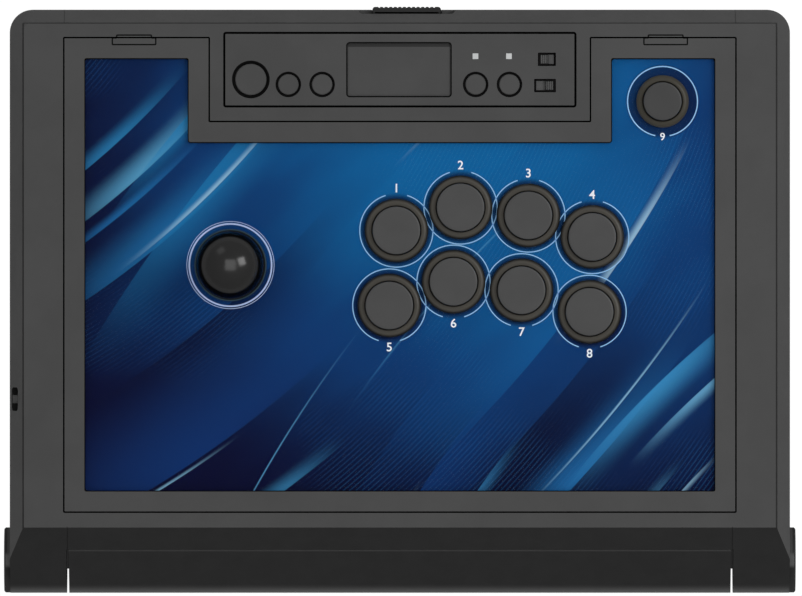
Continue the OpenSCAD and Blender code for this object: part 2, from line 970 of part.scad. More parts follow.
module status_lenses() {
    color("#d0d4d8")
    for (s = lens_shares)
        slab(under_top, case_h)
        translate(strip_place(s))
        square(lens_w, center = true);
}

module round_button(place, r) {
    color("#4a4a4a") {
        post(place, cap_bottom, case_h + cap_rise - cap_dome, r);
        taper(place, case_h + cap_rise - cap_dome, case_h + cap_rise, r, r - cap_dome);
        post(place, cap_bottom, cap_bottom + flange_t, r + flange_w);
    }
}

module home_button() {
    round_button(strip_place(home_share), home_r);
}

module share_button() {
    round_button(strip_place(share_share), small_r);
}

module function_button() {
    round_button(strip_place(function_share), small_r);
}

module aux_left_button() {
    round_button(strip_place(aux_left_share), small_r);
}

module aux_right_button() {
    round_button(strip_place(aux_right_share), small_r);
}

pad_top = case_h - pad_sink;
pad_bottom = pad_top - pad_t;

module touch_pad() {
    color("#303030")
    slab(pad_bottom, pad_top)
    translate(strip_place(pad_share))
    rounded_rect(pad_w, pad_d, pad_corner);
}

// Slide knobs, with the slider foot that keeps each one in its slot
foot_t = 1.2;
foot_w = 2;
foot_top = under_top - slip;
lock_knob_x = strip_place(lock_share)[0] - (lock_slot_w - knob_w) / 2 + slider_gap;
mode_knob_x = strip_place(mode_share)[0] + (mode_slot_w - knob_w) / 2 - slider_gap;

module slide_knob(x, y) {
    knob_d = slot_d - 2 * slider_gap;
    color("#262626") {
        difference() {
            block(x - knob_w / 2, x + knob_w / 2, y - knob_d / 2, y + knob_d / 2, foot_top - foot_t,
                case_h + knob_rise);
            for (k = [1:knob_ribs])
                block(x - knob_w / 2 + k * knob_w / (knob_ribs + 1) - rib_cut / 2,
                    x - knob_w / 2 + k * knob_w / (knob_ribs + 1) + rib_cut / 2,
                    y - knob_d, y + knob_d, case_h + knob_rise - rib_cut, case_h + knob_rise + over);
        }
        block(x - knob_w / 2 - foot_w, x + knob_w / 2 + foot_w, y - slot_d / 2 - foot_w / 2,
            y + slot_d / 2 + foot_w / 2, foot_top - foot_t, foot_top);
    }
}

module lock_switch() {
    slide_knob(lock_knob_x, strip_place(lock_share)[1]);
}

module mode_switch() {
    slide_knob(mode_knob_x, strip_place(mode_share)[1]);
}

module control_board() {
    color("#1e5a34")
    slab(board_z, board_top)
    translate([0, strip_cy])
    square([strip_w - 2 * board_inset, strip_d - 2 * board_inset], center = true);
}

module tact(place, top) {
    slab(board_top, board_top + tact_h)
    translate(place)
    square(tact_w, center = true);
    post(place, board_top, top, tact_stem_r);
}

// Push and slide switches under the small controls
module control_switches() {
    slider_top = foot_top - foot_t - slider_gap;
    color("#303438") {
        tact(strip_place(home_share), tact_top);
        for (place = small_places())
            tact(place, tact_top);
        tact(strip_place(pad_share), pad_bottom - pad_travel - tact_gap);
        for (s = [lock_share, mode_share])
            slab(board_top, slider_top)
            translate(strip_place(s))
            square([mode_slot_w, slot_d], center = true);
    }
}

module main_board() {
    color("#1e5a34") {
        block(main_board_x0, main_board_x0 + main_board_w, jack_y - main_board_d / 2,
            jack_y + main_board_d / 2, main_board_z, main_board_z + board_t);
        block(main_board_x0 + main_board_w / 2 + chip_w / 2,
            main_board_x0 + main_board_w / 2 + 3 * chip_w / 2,
            jack_y - chip_w / 2, jack_y + chip_w / 2, main_board_z + board_t - slip,
            main_board_z + board_t + chip_h);
    }
}

module board_standoffs() {
    color("#c8b060")
    for (place = standoffs_at())
        post(place, main_board_z + board_t, plate_z, post_r);
}

module headset_jack() {
    mouth_x = jack_face_x;
    body_x = mouth_x + jack_liner_t + 2 * slip;
    color("#8a8a8a")
    difference() {
        union() {
            rod_x(mouth_x, mouth_x + jack_liner_t + over, jack_y, jack_z, jack_barrel_r);
            block(body_x, body_x + jack_body_l, jack_y - jack_body_w / 2, jack_y + jack_body_w / 2,
                jack_z - jack_body_h / 2, jack_z + jack_body_h / 2);
        }
        rod_x(mouth_x - over, mouth_x + jack_body_l, jack_y, jack_z, jack_r);
    }
}

module usb_socket() {
    face_y = back_y - usb_recess_l;
    board_z1 = usb_z - usb_shell_h / 2;
    color("#a0a0a0") {
        difference() {
            block(usb_x - usb_shell_w / 2, usb_x + usb_shell_w / 2, face_y - usb_shell_l, face_y,
                usb_z - usb_shell_h / 2, usb_z + usb_shell_h / 2);
            block(usb_x - usb_shell_w / 2 + usb_wall_t, usb_x + usb_shell_w / 2 - usb_wall_t,
                face_y - usb_shell_l + usb_wall_t, face_y + over,
                usb_z - usb_shell_h / 2 + usb_wall_t, usb_z + usb_shell_h / 2 - usb_wall_t);
        }
        block(usb_x - usb_tongue_w / 2, usb_x + usb_tongue_w / 2, face_y - usb_shell_l + usb_wall_t / 2,
            face_y - usb_wall_t, usb_z - usb_tongue_t / 2, usb_z + usb_tongue_t / 2);
        block(usb_x - usb_board_w / 2, usb_x + usb_board_w / 2, face_y - usb_liner_t - usb_board_l,
            face_y - usb_liner_t, board_z1 - board_t, board_z1);
    }
}

rim_top = clear_top + rim_h;
barrel_z = clear_top - barrel_drop;

module button_body(place, rim, barrel) {
    difference() {
        union() {
            post(place, barrel_z, clear_top, barrel);
            post(place, clear_top, rim_top - rim_bevel_h, rim);
            taper(place, rim_top - rim_bevel_h, rim_top, rim, rim - rim_bevel);
        }
        post(place, barrel_z + barrel_floor_t, rim_top + over, barrel - bore_wall);
        post(place, barrel_z - over, rim_top, stem_r + slip);
    }
}

module plunger(place, r) {
    top = rim_top + plunger_rise;
    color("#4a4a4a") {
        post(place, top - plunger_t, top - plunger_bevel, r);
        taper(place, top - plunger_bevel, top, r, r - plunger_bevel);
        post(place, barrel_z + button_travel + stem_lift, top - plunger_t, stem_r);
    }
}

module button_bodies() {
    color("#35332f")
    for (place = button_places)
        button_body(place, rim_r, barrel_r);
}

module option_body() {
    color("#35332f")
    button_body([option_x, option_y], option_rim_r, option_barrel_r);
}

module option_plunger() {
    plunger([option_x, option_y], option_plunger_r);
}

module nut(place, barrel) {
    difference() {
        post(place, plate_z - nut_h, plate_z, barrel + nut_w + nut_gap);
        post(place, plate_z - nut_h - over, plate_z + over, barrel + nut_gap);
    }
}

module button_nuts() {
    color("#303030") {
        for (place = button_places)
            nut(place, barrel_r);
        nut([option_x, option_y], option_barrel_r);
    }
}

module button_switches() {
    color("#b05a30")
    for (place = concat(button_places, [[option_x, option_y]]))
        block(place[0] - switch_l / 2, place[0] + switch_l / 2, place[1] - switch_w / 2,
            place[1] + switch_w / 2, barrel_z - switch_h, barrel_z);
}

module square_tube(half, hole, z0, z1) {
    difference() {
        block(lever_x - half, lever_x + half, lever_y - half, lever_y + half, z0, z1);
        block(lever_x - hole, lever_x + hole, lever_y - hole, lever_y + hole, z0 - over, z1 + over);
    }
}

lever_at = [lever_x, lever_y];

module lever_mount_plate() {
    color("#8e8e92")
    difference() {
        slab(lever_plate_z, plate_z)
        translate(lever_at)
        square([lever_plate_w, lever_plate_d], center = true);
        post(lever_at, lever_plate_z - over, plate_z + over, plate_hole_r);
        for (place = lever_screws_at())
            post(place, lever_plate_z - over, plate_z + over, plate_screw_r + fit);
    }
}

module lever_screws() {
    color("#c0c0c0")
    for (place = lever_screws_at()) {
        post(place, lever_plate_z, plate_top - slip, plate_screw_r);
        post(place, lever_plate_z - plate_screw_r, lever_plate_z, plate_head_r);
    }
}

module lever_housing() {
    roof_z = lever_plate_z - 2 * housing_seat_h;
    color("#2a2a2a")
    difference() {
        union() {
            square_tube(housing_w / 2, housing_w / 2 - housing_t, housing_z, lever_plate_z);
            slab(roof_z, lever_plate_z)
            translate(lever_at)
            square(housing_w - housing_t, center = true);
            for (side = [-1, 1]) {
                mid = lever_x + side * (ring_out_r + slip + pivot_block_w / 2);
                block(mid - pivot_block_w / 2, mid + pivot_block_w / 2, lever_y - pivot_block_h / 2,
                    lever_y + pivot_block_h / 2, pivot_z - pivot_block_h / 2, roof_z + housing_seat_h / 2);
            }
        }
        post(lever_at, roof_z - over, lever_plate_z + over, plate_hole_r);
        post(lever_at, lever_plate_z - housing_seat_h, lever_plate_z + over, housing_seat_r);
        rod_x(lever_x - ring_out_r - slip - pivot_block_w - over,
            lever_x + ring_out_r + slip + pivot_block_w + over, lever_y, pivot_z, trunnion_r + fit);
    }
}

lever_board_z = clip_z + 2 * clip_h;

module lever_switches() {
    board_half = housing_w / 2 - housing_t - slip;
    color("#303438")
    difference() {
        union() {
            slab(lever_board_z, lever_board_z + board_t)
            translate(lever_at)
            square(2 * board_half, center = true);
            for (turn = [0:90:270])
                translate(lever_at)
                rotate([0, 0, turn])
                block(lever_switch_in, lever_switch_in + lever_switch_w, -lever_switch_in + slip,
                    lever_switch_in - slip, lever_board_z, lever_board_z + board_t + switch_h);
        }
        post(lever_at, lever_board_z - over, lever_board_z + board_t, lever_switch_in + foot_w);
    }
}

module lever_gate() {
    color("#c8c4b8")
    square_tube(housing_w / 2, gate_half, gate_z, housing_z);
}

module pivot_ring() {
    color("#d8d4c8")
    difference() {
        union() {
            post(lever_at, pivot_z - ring_h / 2, pivot_z + ring_h / 2, ring_out_r);
            rod_x(lever_x - ring_out_r - pivot_block_w, lever_x + ring_out_r + pivot_block_w,
                lever_y, pivot_z, trunnion_r);
        }
        translate([lever_x, lever_y, pivot_z])
        sphere(pivot_ball_r + slip);
        rod_y(lever_y - ring_out_r - over, lever_y + ring_out_r + over, lever_x, pivot_z, cross_pin_r + fit);
    }
}

module shaft_hole(z0, z1) {
    post(lever_at, z0, z1, shaft_r + fit);
}

module pivot_ball() {
    color("#e8e6e0")
    difference() {
        union() {
            translate([lever_x, lever_y, pivot_z])
            sphere(pivot_ball_r);
            rod_y(lever_y - ring_out_r + cross_pin_in, lever_y + ring_out_r - cross_pin_in,
                lever_x, pivot_z, cross_pin_r);
        }
        shaft_hole(pivot_z - ring_out_r, pivot_z + ring_out_r);
    }
}

ball_flat_z = ball_z - ball_r + ball_flat_cut;
thread_r = shaft_r - bore_wall;

module shaft_cover() {
    color("#c8c8c8")
    difference() {
        post(lever_at, pivot_z + cover_low, ball_flat_z - slip, cover_r);
        shaft_hole(pivot_z, ball_flat_z);
    }
}

module lever_spring() {
    color("#b0b0b0")
    difference() {
        post(lever_at, actuator_top + spring_gap, pivot_z - pivot_ball_r + spring_gap + over, spring_r);
        post(lever_at, actuator_top, pivot_z, spring_in_r);
    }
}

module lever_shaft() {
    color("#d0d0d0") {
        post(lever_at, shaft_bottom, ball_flat_z, shaft_r);
        post(lever_at, ball_flat_z, ball_flat_z + ball_bore_l, thread_r);
    }
}

module ball_top() {
    color("#303030")
    difference() {
        translate([lever_x, lever_y, ball_z])
        sphere(ball_r);
        post(lever_at, ball_z - ball_r - over, ball_flat_z, ball_r);
        post(lever_at, ball_flat_z - over, ball_flat_z + ball_bore_l + slip, thread_r + fit);
    }
}

module actuator() {
    color("#e0e0dc")
    difference() {
        post(lever_at, clip_z + clip_h + fit, actuator_top, actuator_r);
        shaft_hole(clip_z, actuator_top + over);
    }
}

module e_clip() {
    color("#a0a0a0")
    difference() {
        post(lever_at, clip_z, clip_z + clip_h, clip_r);
        shaft_hole(clip_z - over, clip_z + clip_h + over);
    }
}

module dust_washer() {
    washer_z = clear_top + washer_lift;
    color("#161616")
    difference() {
        post(lever_at, washer_z, washer_z + washer_t, washer_r);
        post(lever_at, washer_z - over, washer_z + washer_t + over, cover_r + washer_bore_gap);
    }
}

module lower_washer() {
    low_z = lever_plate_z - housing_seat_h + slip;
    color("#202020")
    difference() {
        post(lever_at, low_z, low_z + lower_washer_t, lower_washer_r);
        post(lever_at, low_z - over, low_z + lower_washer_t + over, lower_bore_r);
    }
}

module latch_button() {
    pad_y = back_y + latch_proud - latch_t;
    pitch = latch_w / (latch_ribs + 2);
    color("#3a3a3a") {
        difference() {
            slab(latch_z0, latch_z1)
            translate([latch_x, pad_y + latch_t / 2])
            rounded_rect(latch_w, latch_t, latch_t / 2 - slip);
            for (k = [0:latch_ribs - 1])
                post([latch_x + (k - (latch_ribs - 1) / 2) * pitch, back_y + latch_proud], latch_z0 - over,
                    latch_z1 + over, latch_rib_d);
        }
        block(latch_x - stem_w / 2, latch_x + stem_w / 2, hook_y0, pad_y + latch_t / 2, stem_z0, stem_z1);
        block(latch_x - hook_w / 2, latch_x + hook_w / 2, hook_y0, hook_y0 + hook_t, hook_z, stem_z1);
        block(latch_x - hook_w / 2, latch_x + hook_w / 2, hook_y0, nose_tip_y, hook_z, hook_z + hook_nose_h);
    }
}

module latch_spring() {
    mid_z = (stem_z0 + stem_z1) / 2;
    color("#c0c0c0")
    difference() {
        rod_y(guide_y, hook_y0, latch_x, mid_z, latch_spring_r);
        rod_y(guide_y - over, hook_y0 + over, latch_x, mid_z, latch_spring_r - latch_spring_wire);
    }
}
bottom_case();
base_mat();
hinge_pins();
latch_strike();
top_case();
hinge_caps();
bezel_frame();
bezel_clips();
clear_panel();
artwork_sheet();
mounting_plate();
plate_screws();
control_strip();
status_lenses();
control_board();
control_switches();
main_board();
board_standoffs();
headset_jack();
usb_socket();
button_bodies();
option_body();
button_nuts();
button_switches();
lever_mount_plate();
lever_screws();
lever_housing();
lever_switches();
lever_gate();
pivot_ring();
pivot_ball();
shaft_cover();
lever_spring();
lever_shaft();
ball_top();
actuator();
e_clip();
dust_washer();
lower_washer();
home_button();
share_button();
function_button();
aux_left_button();
aux_right_button();
touch_pad();
lock_switch();
mode_switch();
latch_button();
latch_spring();
plunger(button_places[0], plunger_r);  // plunger_1
plunger(button_places[1], plunger_r);  // plunger_2
plunger(button_places[2], plunger_r);  // plunger_3
plunger(button_places[3], plunger_r);  // plunger_4
plunger(button_places[4], plunger_r);  // plunger_5
plunger(button_places[5], plunger_r);  // plunger_6
plunger(button_places[6], plunger_r);  // plunger_7
plunger(button_places[7], plunger_r);  // plunger_8
option_plunger();
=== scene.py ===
import logging
import math
from dataclasses import dataclass, replace
from enum import Enum
from functools import reduce
from typing import ClassVar, Sequence, Union

import bpy
import numpy as np
from mathutils import Matrix, Vector


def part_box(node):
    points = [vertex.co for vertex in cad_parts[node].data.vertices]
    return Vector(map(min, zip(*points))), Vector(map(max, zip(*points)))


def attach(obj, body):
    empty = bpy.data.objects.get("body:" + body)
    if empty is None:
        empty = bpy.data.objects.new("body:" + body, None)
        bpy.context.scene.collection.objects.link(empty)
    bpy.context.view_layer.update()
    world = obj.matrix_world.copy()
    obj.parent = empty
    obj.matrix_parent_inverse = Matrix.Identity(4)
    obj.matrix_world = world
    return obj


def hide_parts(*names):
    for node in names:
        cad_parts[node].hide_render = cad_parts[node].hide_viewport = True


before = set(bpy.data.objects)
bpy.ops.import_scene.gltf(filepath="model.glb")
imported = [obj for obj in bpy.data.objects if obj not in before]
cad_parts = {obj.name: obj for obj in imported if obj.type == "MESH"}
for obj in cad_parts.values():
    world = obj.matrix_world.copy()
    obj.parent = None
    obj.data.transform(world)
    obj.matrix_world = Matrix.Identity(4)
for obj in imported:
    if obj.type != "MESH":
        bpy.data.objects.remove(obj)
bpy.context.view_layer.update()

log = logging.getLogger("fight_stick")

MM = 0.001
# The angle above which an edge stays sharp
CREASE = math.radians(32.0)
# A radius in metres below which a point lies on the axis
ON_AXIS = 1e-9
# How far from a node's edge a point still counts as on it, in millimetres
NEAR_EDGE = 0.05
# A curve's text size and weight for a figure of height 1
TEXT_SCALE = 1.4
TEXT_WEIGHT = 0.018
Colour = tuple[float, float, float, float]
Socket = bpy.types.NodeSocket
Value = Union[Socket, float, str, Colour, Sequence[float]]
# Low and high
Range = tuple[float, float]
# X and y
Place = tuple[float, float]
# X, y and z
Spot = tuple[float, float, float]
# Points in metres, one row each, and the point numbers of each face
Surface = tuple[np.ndarray, list[list[int]]]
# Finishes, each with the CAD nodes that get it
Dressing = tuple[tuple["Finish", tuple[str, ...]], ...]


def srgb(code: str, factor: float = 1.0) -> Colour:
    """Turns a screen colour into the linear colour that shaders work in.

    Args:
        code: The colour as "#rrggbb".
        factor: What its light is multiplied by, up to white.

    Returns:
        Linear red, green, blue and an alpha of 1.
    """
    parts = [int(code[i : i + 2], 16) / 255 for i in (1, 3, 5)]
    linear = [p / 12.92 if p <= 0.04045 else ((p + 0.055) / 1.055) ** 2.4 for p in parts]
    return (*[min(1.0, c * factor) for c in linear], 1.0)


class Graph:
    """The node tree of a material or a world, with short calls that add a node."""

    def __init__(self, name: str, world: bool = False) -> None:
        """Makes an empty material or world.

        Args:
            name: Its name.
            world: Whether it's a world.
        """
        self.owner = (bpy.data.worlds if world else bpy.data.materials).new(name)
        self.owner.use_nodes = True
        self.tree = self.owner.node_tree
        self.tree.nodes.clear()
        self.output = self.tree.nodes.new("ShaderNodeOutput" + ("World" if world else "Material"))

    def put(self, target: Socket, value: Value) -> None:
        """Joins an input to another socket, or sets its constant.

        Args:
            target: The input.
            value: An output socket, a number, a vector, a linear colour or a "#rrggbb" one.
        """
        if isinstance(value, Socket):
            self.tree.links.new(value, target)
        else:
            target.default_value = srgb(value) if isinstance(value, str) else value

    def add(self, kind: str, inputs: dict[Union[str, int], Value] | None = None,
            **settings: object) -> bpy.types.bpy_prop_collection:
        """Adds a node.

        Args:
            kind: The node's type name without "ShaderNode".
            inputs: A value for each named or numbered input.
            **settings: The node's own options.

        Returns:
            The node's outputs.
        """
        made = self.tree.nodes.new("ShaderNode" + kind)
        for key, option in settings.items():
            setattr(made, key, option)
        for key, value in (inputs or {}).items():
            self.put(made.inputs[key], value)
        return made.outputs

    def math(self, operation: str, a: Value, b: Value = 0.0, c: Value = 0.0) -> Socket:
        """Adds a sum on one, two or three numbers."""
        return self.add("Math", {0: a, 1: b, 2: c}, operation=operation)[0]

    def product(self, *values: Value) -> Socket:
        """Multiplies numbers in turn."""
        return reduce(lambda a, b: self.math("MULTIPLY", a, b), values)

    def place(self, kind: str = "Object") -> tuple[Socket, Socket, Socket]:
        """Gives x, y and z of the shaded point in the object's own frame, or of its "Normal"."""
        return tuple(self.add("SeparateXYZ", {0: self.add("TexCoord")[kind]}))

    def scaled(self, scale: Sequence[float], turn: float = 0.0) -> Socket:
        """Gives the shaded point in a stretched and turned frame.

        Args:
            scale: The factor along each axis, such as features per metre.
            turn: The turn about Z in radians, before the factors.

        Returns:
            The changed point.
        """
        point = self.add("TexCoord")["Object"]
        if turn:
            point = self.add("VectorRotate", {"Vector": point, "Angle": turn},
                             rotation_type="Z_AXIS")[0]
        return self.add("VectorMath", {0: point, 1: tuple(scale)}, operation="MULTIPLY")[0]

    def noise(self, per_metre: Union[float, Sequence[float]], detail: float = 2.0,
              rough: float = 0.5, turn: float = 0.0) -> Socket:
        """Adds soft noise, about 0.5 on average.

        Args:
            per_metre: How many features fit in a metre, alike or along each axis.
            detail: How many finer layers it has.
            rough: How strong these layers are.
            turn: The turn about Z of a stretched noise, in radians.

        Returns:
            The noise.
        """
        factors = (per_metre,) * 3 if isinstance(per_metre, (int, float)) else per_metre
        return self.add("TexNoise", {"Vector": self.scaled(factors, turn), "Scale": 1.0,
                                     "Detail": detail, "Roughness": rough})[0]

    def spread(self, value: Value, low: float, high: float, to_low: float = 0.0,
               to_high: float = 1.0, smooth: bool = True) -> Socket:
        """Maps one range to another and holds the ends.

        Args:
            value: The number to map.
            low: Where the first range starts.
            high: Where it ends.
            to_low: The result at its start.
            to_high: The result at its end.
            smooth: Whether it eases in and out.

        Returns:
            The mapped number.
        """
        inputs = {"Value": value, "From Min": low, "From Max": high, "To Min": to_low,
                  "To Max": to_high}
        kind = "SMOOTHSTEP" if smooth else "LINEAR"
        return self.add("MapRange", inputs, interpolation_type=kind)[0]

    def mix(self, share: Value, first: Value, second: Value) -> Socket:
        """Mixes two colours: the first where the share is 0, the second where it is 1."""
        return self.add("Mix", {0: share, 6: first, 7: second}, data_type="RGBA")[2]

    def tints(self, share: Value, code: str, first: float, second: float) -> Socket:
        """Mixes two tints of one colour, each given by what its light is multiplied by."""
        return self.mix(share, srgb(code, first), srgb(code, second))

    def bump(self, height: Value, depth: float, under: Socket | None = None) -> Socket:
        """Turns a height from 0 to 1 into a normal, bumped by a depth in metres over another."""
        base = {} if under is None else {"Normal": under}
        return self.add("Bump", {"Height": height, "Distance": depth, "Strength": 1.0, **base})[0]

    def end(self, shader: Socket) -> Union[bpy.types.Material, bpy.types.World]:
        """Ends the tree with a shader and gives the material or the world."""
        self.put(self.output.inputs["Surface"], shader)
        return self.owner

    def surface(self, colour: Value, roughness: Value, normal: Socket | None = None,
                **more: Value) -> bpy.types.Material:
        """Ends the tree with a principled shader.

        Args:
            colour: The base colour.
            roughness: The roughness.
            normal: The bumped normal, if any.
            **more: More inputs, their names with _ for each space.

        Returns:
            The finished material.
        """
        inputs = {key.replace("_", " "): value for key, value in more.items()}
        if normal is not None:
            inputs["Normal"] = normal
        inputs |= {"Base Color": colour, "Roughness": roughness}
        return self.end(self.add("BsdfPrincipled", inputs)[0])


@dataclass(frozen=True)
class Finish:
    """How a surface looks. A kind of finish gives its own material in paint()."""

    name: str
    colour: str
    made: ClassVar[dict[str, bpy.types.Material]] = {}

    def paint(self) -> bpy.types.Material:
        """Makes the material."""
        raise NotImplementedError

    def dress(self, *things: Union[str, bpy.types.Object]) -> None:
        """Gives objects this finish in each of their material slots. It is made at first use.

        Args:
            *things: Mesh objects or names of CAD nodes.
        """
        if self.name not in self.made:
            self.made[self.name] = self.paint()
        for thing in things:
            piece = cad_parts[thing] if isinstance(thing, str) else thing
            if not piece.material_slots:
                piece.data.materials.append(self.made[self.name])
            for slot in piece.material_slots:
                slot.material = self.made[self.name]


def dress_all(finishes: Dressing) -> None:
    """Gives each finish to its CAD nodes."""
    for finish, nodes in finishes:
        finish.dress(*nodes)


@dataclass(frozen=True)
class Moulded(Finish):
    """Moulded plastic: a fine spark-eroded grain, faint flow marks and uneven gloss."""

    roughness: float = 0.5
    grain: float = 0.00002
    grain_per_metre: float = 2600.0
    mottle: float = 0.05
    shine: float = 0.35

    def shade(self, graph: Graph) -> Value:
        """Gives the colour, with faint lighter and darker places."""
        clouds = graph.spread(graph.noise(28.0, 4.0, 0.6), 0.3, 0.7)
        return graph.tints(clouds, self.colour, 1 - self.mottle, 1 + self.mottle)

    def specular(self, graph: Graph) -> Value:
        """Gives the strength of the plain reflection."""
        return self.shine

    def paint(self) -> bpy.types.Material:
        """Makes the plastic.

        Returns:
            The material.
        """
        graph = Graph(self.name)
        handled = graph.noise(60.0, 5.0, 0.65)
        uneven = graph.spread(handled, 0.25, 0.75, self.roughness - 0.05, self.roughness + 0.06)
        normal = graph.bump(graph.noise(self.grain_per_metre), self.grain)
        return graph.surface(self.shade(graph), uneven, normal,
                             Specular_IOR_Level=self.specular(graph))


@dataclass(frozen=True)
class RimPlastic(Moulded):
    """The rims' plastic, with painted shade: darker towards the outer edge, where the rim rounds
    down.

    It reads the attribute "outward": 0 at the rim's inner edge and 1 at its outer edge.
    """

    # The painted shade's colour at the outer edge, and the share over which it comes in
    edge: str = "#161513"
    edge_shade_span: Range = (0.5, 1.02)

    def shade(self, graph: Graph) -> Value:
        """Gives the colour, with painted shade that darkens it towards the outer edge."""
        share = graph.spread(graph.add("Attribute", attribute_name="outward")["Fac"], *self.edge_shade_span)
        return graph.mix(share, super().shade(graph), self.edge)


@dataclass(frozen=True)
class BallPlastic(Moulded):
    """The ball's glossy plastic, with painted shade: dull and darker from below its shoulder down.
    """

    centre_z: float = 0.1045
    radius: float = 0.0175
    shoulder: Range = (0.5, 0.58)
    # Colour of the painted shade below the shoulder
    below: str = "#050505"
    gloss: Range = (0.03, 0.5)

    def height(self, graph: Graph, low: float, high: float) -> Socket:
        """Gives the low value below the ball's shoulder and the high one above it."""
        z = graph.math("SUBTRACT", graph.place()[2], self.centre_z)
        return graph.spread(graph.math("DIVIDE", z, self.radius), *self.shoulder, low, high)

    def shade(self, graph: Graph) -> Value:
        """Gives the colour, with painted shade that darkens it below the shoulder."""
        return graph.mix(self.height(graph, 1.0, 0.0), super().shade(graph), self.below)

    def specular(self, graph: Graph) -> Value:
        """Gives the gloss, which is lost below the shoulder."""
        return self.height(graph, *self.gloss)


@dataclass(frozen=True)
class CapPlastic(Moulded):
    """The hinge caps' plastic, with painted light: paler on the inner side of the rim, and a
    painted highlight along its crown.
    """

    # Painted light: the paler patch's colour, its reach in x and its reach in y
    pale: str = "#474747"
    lit_patch_x: Range = (0.2060, 0.2072)
    lit_patch_y: Range = (-0.1400, -0.1330)
    # Painted highlight along the crown of the rim, where the normal points up
    crown_highlight: str = "#5c5c5c"
    highlight_up: Range = (0.966, 0.996)

    def shade(self, graph: Graph) -> Value:
        """Gives the colour, with the painted light patch and the painted highlight along the crown
        of the rim.

        Args:
            graph: The material's tree.

        Returns:
            The colour.
        """
        x, y, _ = graph.place()
        # Painted light on the inner side of the rim
        inner = graph.spread(graph.math("ABSOLUTE", x), *self.lit_patch_x, 1.0, 0.0)
        share = graph.product(inner, graph.spread(y, *self.lit_patch_y))
        colour = graph.mix(share, super().shade(graph), self.pale)
        # Painted highlight along the crown
        return graph.mix(graph.spread(graph.place("Normal")[2], *self.highlight_up), colour, self.crown_highlight)


@dataclass(frozen=True)
class CasePlastic(Moulded):
    """The case's plastic, with painted shade: its forward faces are painted darker than the rest.
    """

    # Colour of the painted shade on forward faces
    front: str = "#292929"
    # Colour of the painted highlight where the nose turns down
    lip: str = "#666666"
    paint_y: Range = (-0.1195, -0.1193)
    facing: Range = (-0.4, -0.3)
    rising: Range = (-0.25, -0.05)
    nose_y: Range = (-0.1541, -0.1494)
    nose_power: float = 1.8
    # A thin painted highlight along the nose's upper edge: its colour, its band in y and its reach
    # in x
    rub: str = "#343434"
    edge_highlight_y: Range = (-0.1321, -0.1315)
    edge_highlight_x: float = 0.1741
    # A fine line of painted shade along the fold between the top and the slanted facets
    fold_x: float = 0.19775
    fold_y: float = 0.1454
    fold_half: float = 0.00026
    fold_side: float = 0.00042
    fold_dark: float = 0.85
    fold_colour: str = "#1c1c1c"

    def shade(self, graph: Graph) -> Value:
        """Gives the case's colour, with painted shade on the slope and the nose, and painted
        highlights.

        The painted shade covers what faces forward ahead of the top's edge. A thin painted
        highlight runs along the nose's upper edge, and a painted highlight makes the nose
        lighter where it turns down. A fine line of painted shade runs along the fold between
        the top and the slanted facets.

        Args:
            graph: The material's tree.

        Returns:
            The colour.
        """
        x, y, _ = graph.place()
        aside = graph.math("ABSOLUTE", x)
        # Painted shade along the fold
        side = graph.product(graph.math("COMPARE", aside, self.fold_x, self.fold_side),
                             graph.math("LESS_THAN", y, self.fold_y))
        back = graph.product(graph.math("COMPARE", y, self.fold_y, self.fold_half),
                             graph.math("LESS_THAN", aside, self.fold_x))
        fold = graph.product(graph.math("MAXIMUM", side, back), self.fold_dark)
        base = graph.mix(fold, super().shade(graph), self.fold_colour)
        # Painted shade on what faces forward ahead of the top's edge; dark carries this painted
        # shade and the painted highlights
        _, forward, up = graph.place("Normal")
        front_shade_share = graph.product(graph.spread(forward, *self.facing, 1.0, 0.0),
                                graph.spread(y, *self.paint_y, 1.0, 0.0),
                                graph.spread(up, *self.rising))
        speckle = graph.spread(graph.noise(90.0, 4.0, 0.7), 0.3, 0.7)
        dark = graph.tints(speckle, self.front, 0.94, 1.06)
        # Painted highlight: a thin lighter line along the nose's upper edge
        low, high = self.edge_highlight_y
        on_edge_highlight = graph.product(graph.math("COMPARE", y, (low + high) / 2, (high - low) / 2),
                               graph.math("LESS_THAN", aside, self.edge_highlight_x))
        dark = graph.mix(on_edge_highlight, dark, self.rub)
        # Painted highlight where the nose turns down, lighter than the bare plastic
        turning = graph.spread(y, *self.nose_y, 1.0, 0.0, False)
        dark = graph.mix(graph.math("POWER", turning, self.nose_power), dark, self.lip)
        return graph.mix(front_shade_share, base, dark)


@dataclass(frozen=True)
class Metal(Finish):
    """Rolled or turned metal: fine drawn lines, uneven gloss and a few dull patches."""

    roughness: float = 0.34
    lines: Spot = (40.0, 2200.0, 2200.0)
    depth: float = 0.000008

    def paint(self) -> bpy.types.Material:
        """Makes the metal.

        Returns:
            The material.
        """
        graph = Graph(self.name)
        drawn = graph.noise(self.lines, 3.0, 0.6)
        dull = graph.spread(graph.noise(45.0, 5.0, 0.7), 0.35, 0.75)
        rough = graph.spread(drawn, 0.3, 0.7, self.roughness - 0.08, self.roughness + 0.1)
        return graph.surface(graph.tints(dull, self.colour, 1.0, 0.8), rough,
                             graph.bump(drawn, self.depth), Metallic=1.0)


@dataclass(frozen=True)
class Rubber(Finish):
    """Soft rubber: a fine square pattern of pimples and a dusty, matt skin."""

    pitch: float = 0.0024
    depth: float = 0.00018

    def paint(self) -> bpy.types.Material:
        """Makes the rubber. The pimples are the product of two sine waves, across and along.

        Returns:
            The material.
        """
        graph = Graph(self.name)
        waves = [graph.math("SINE", graph.product(axis, 2 * math.pi / self.pitch))
                 for axis in graph.place()[:2]]
        pimples = graph.spread(graph.product(*waves), 0.1, 0.7)
        dust = graph.spread(graph.noise(35.0, 5.0, 0.7), 0.4, 0.8)
        normal = graph.bump(graph.noise(3000.0), 0.00002, graph.bump(pimples, self.depth))
        return graph.surface(graph.tints(dust, self.colour, 1.0, 1.35), 0.85, normal,
                             Sheen_Weight=0.15)


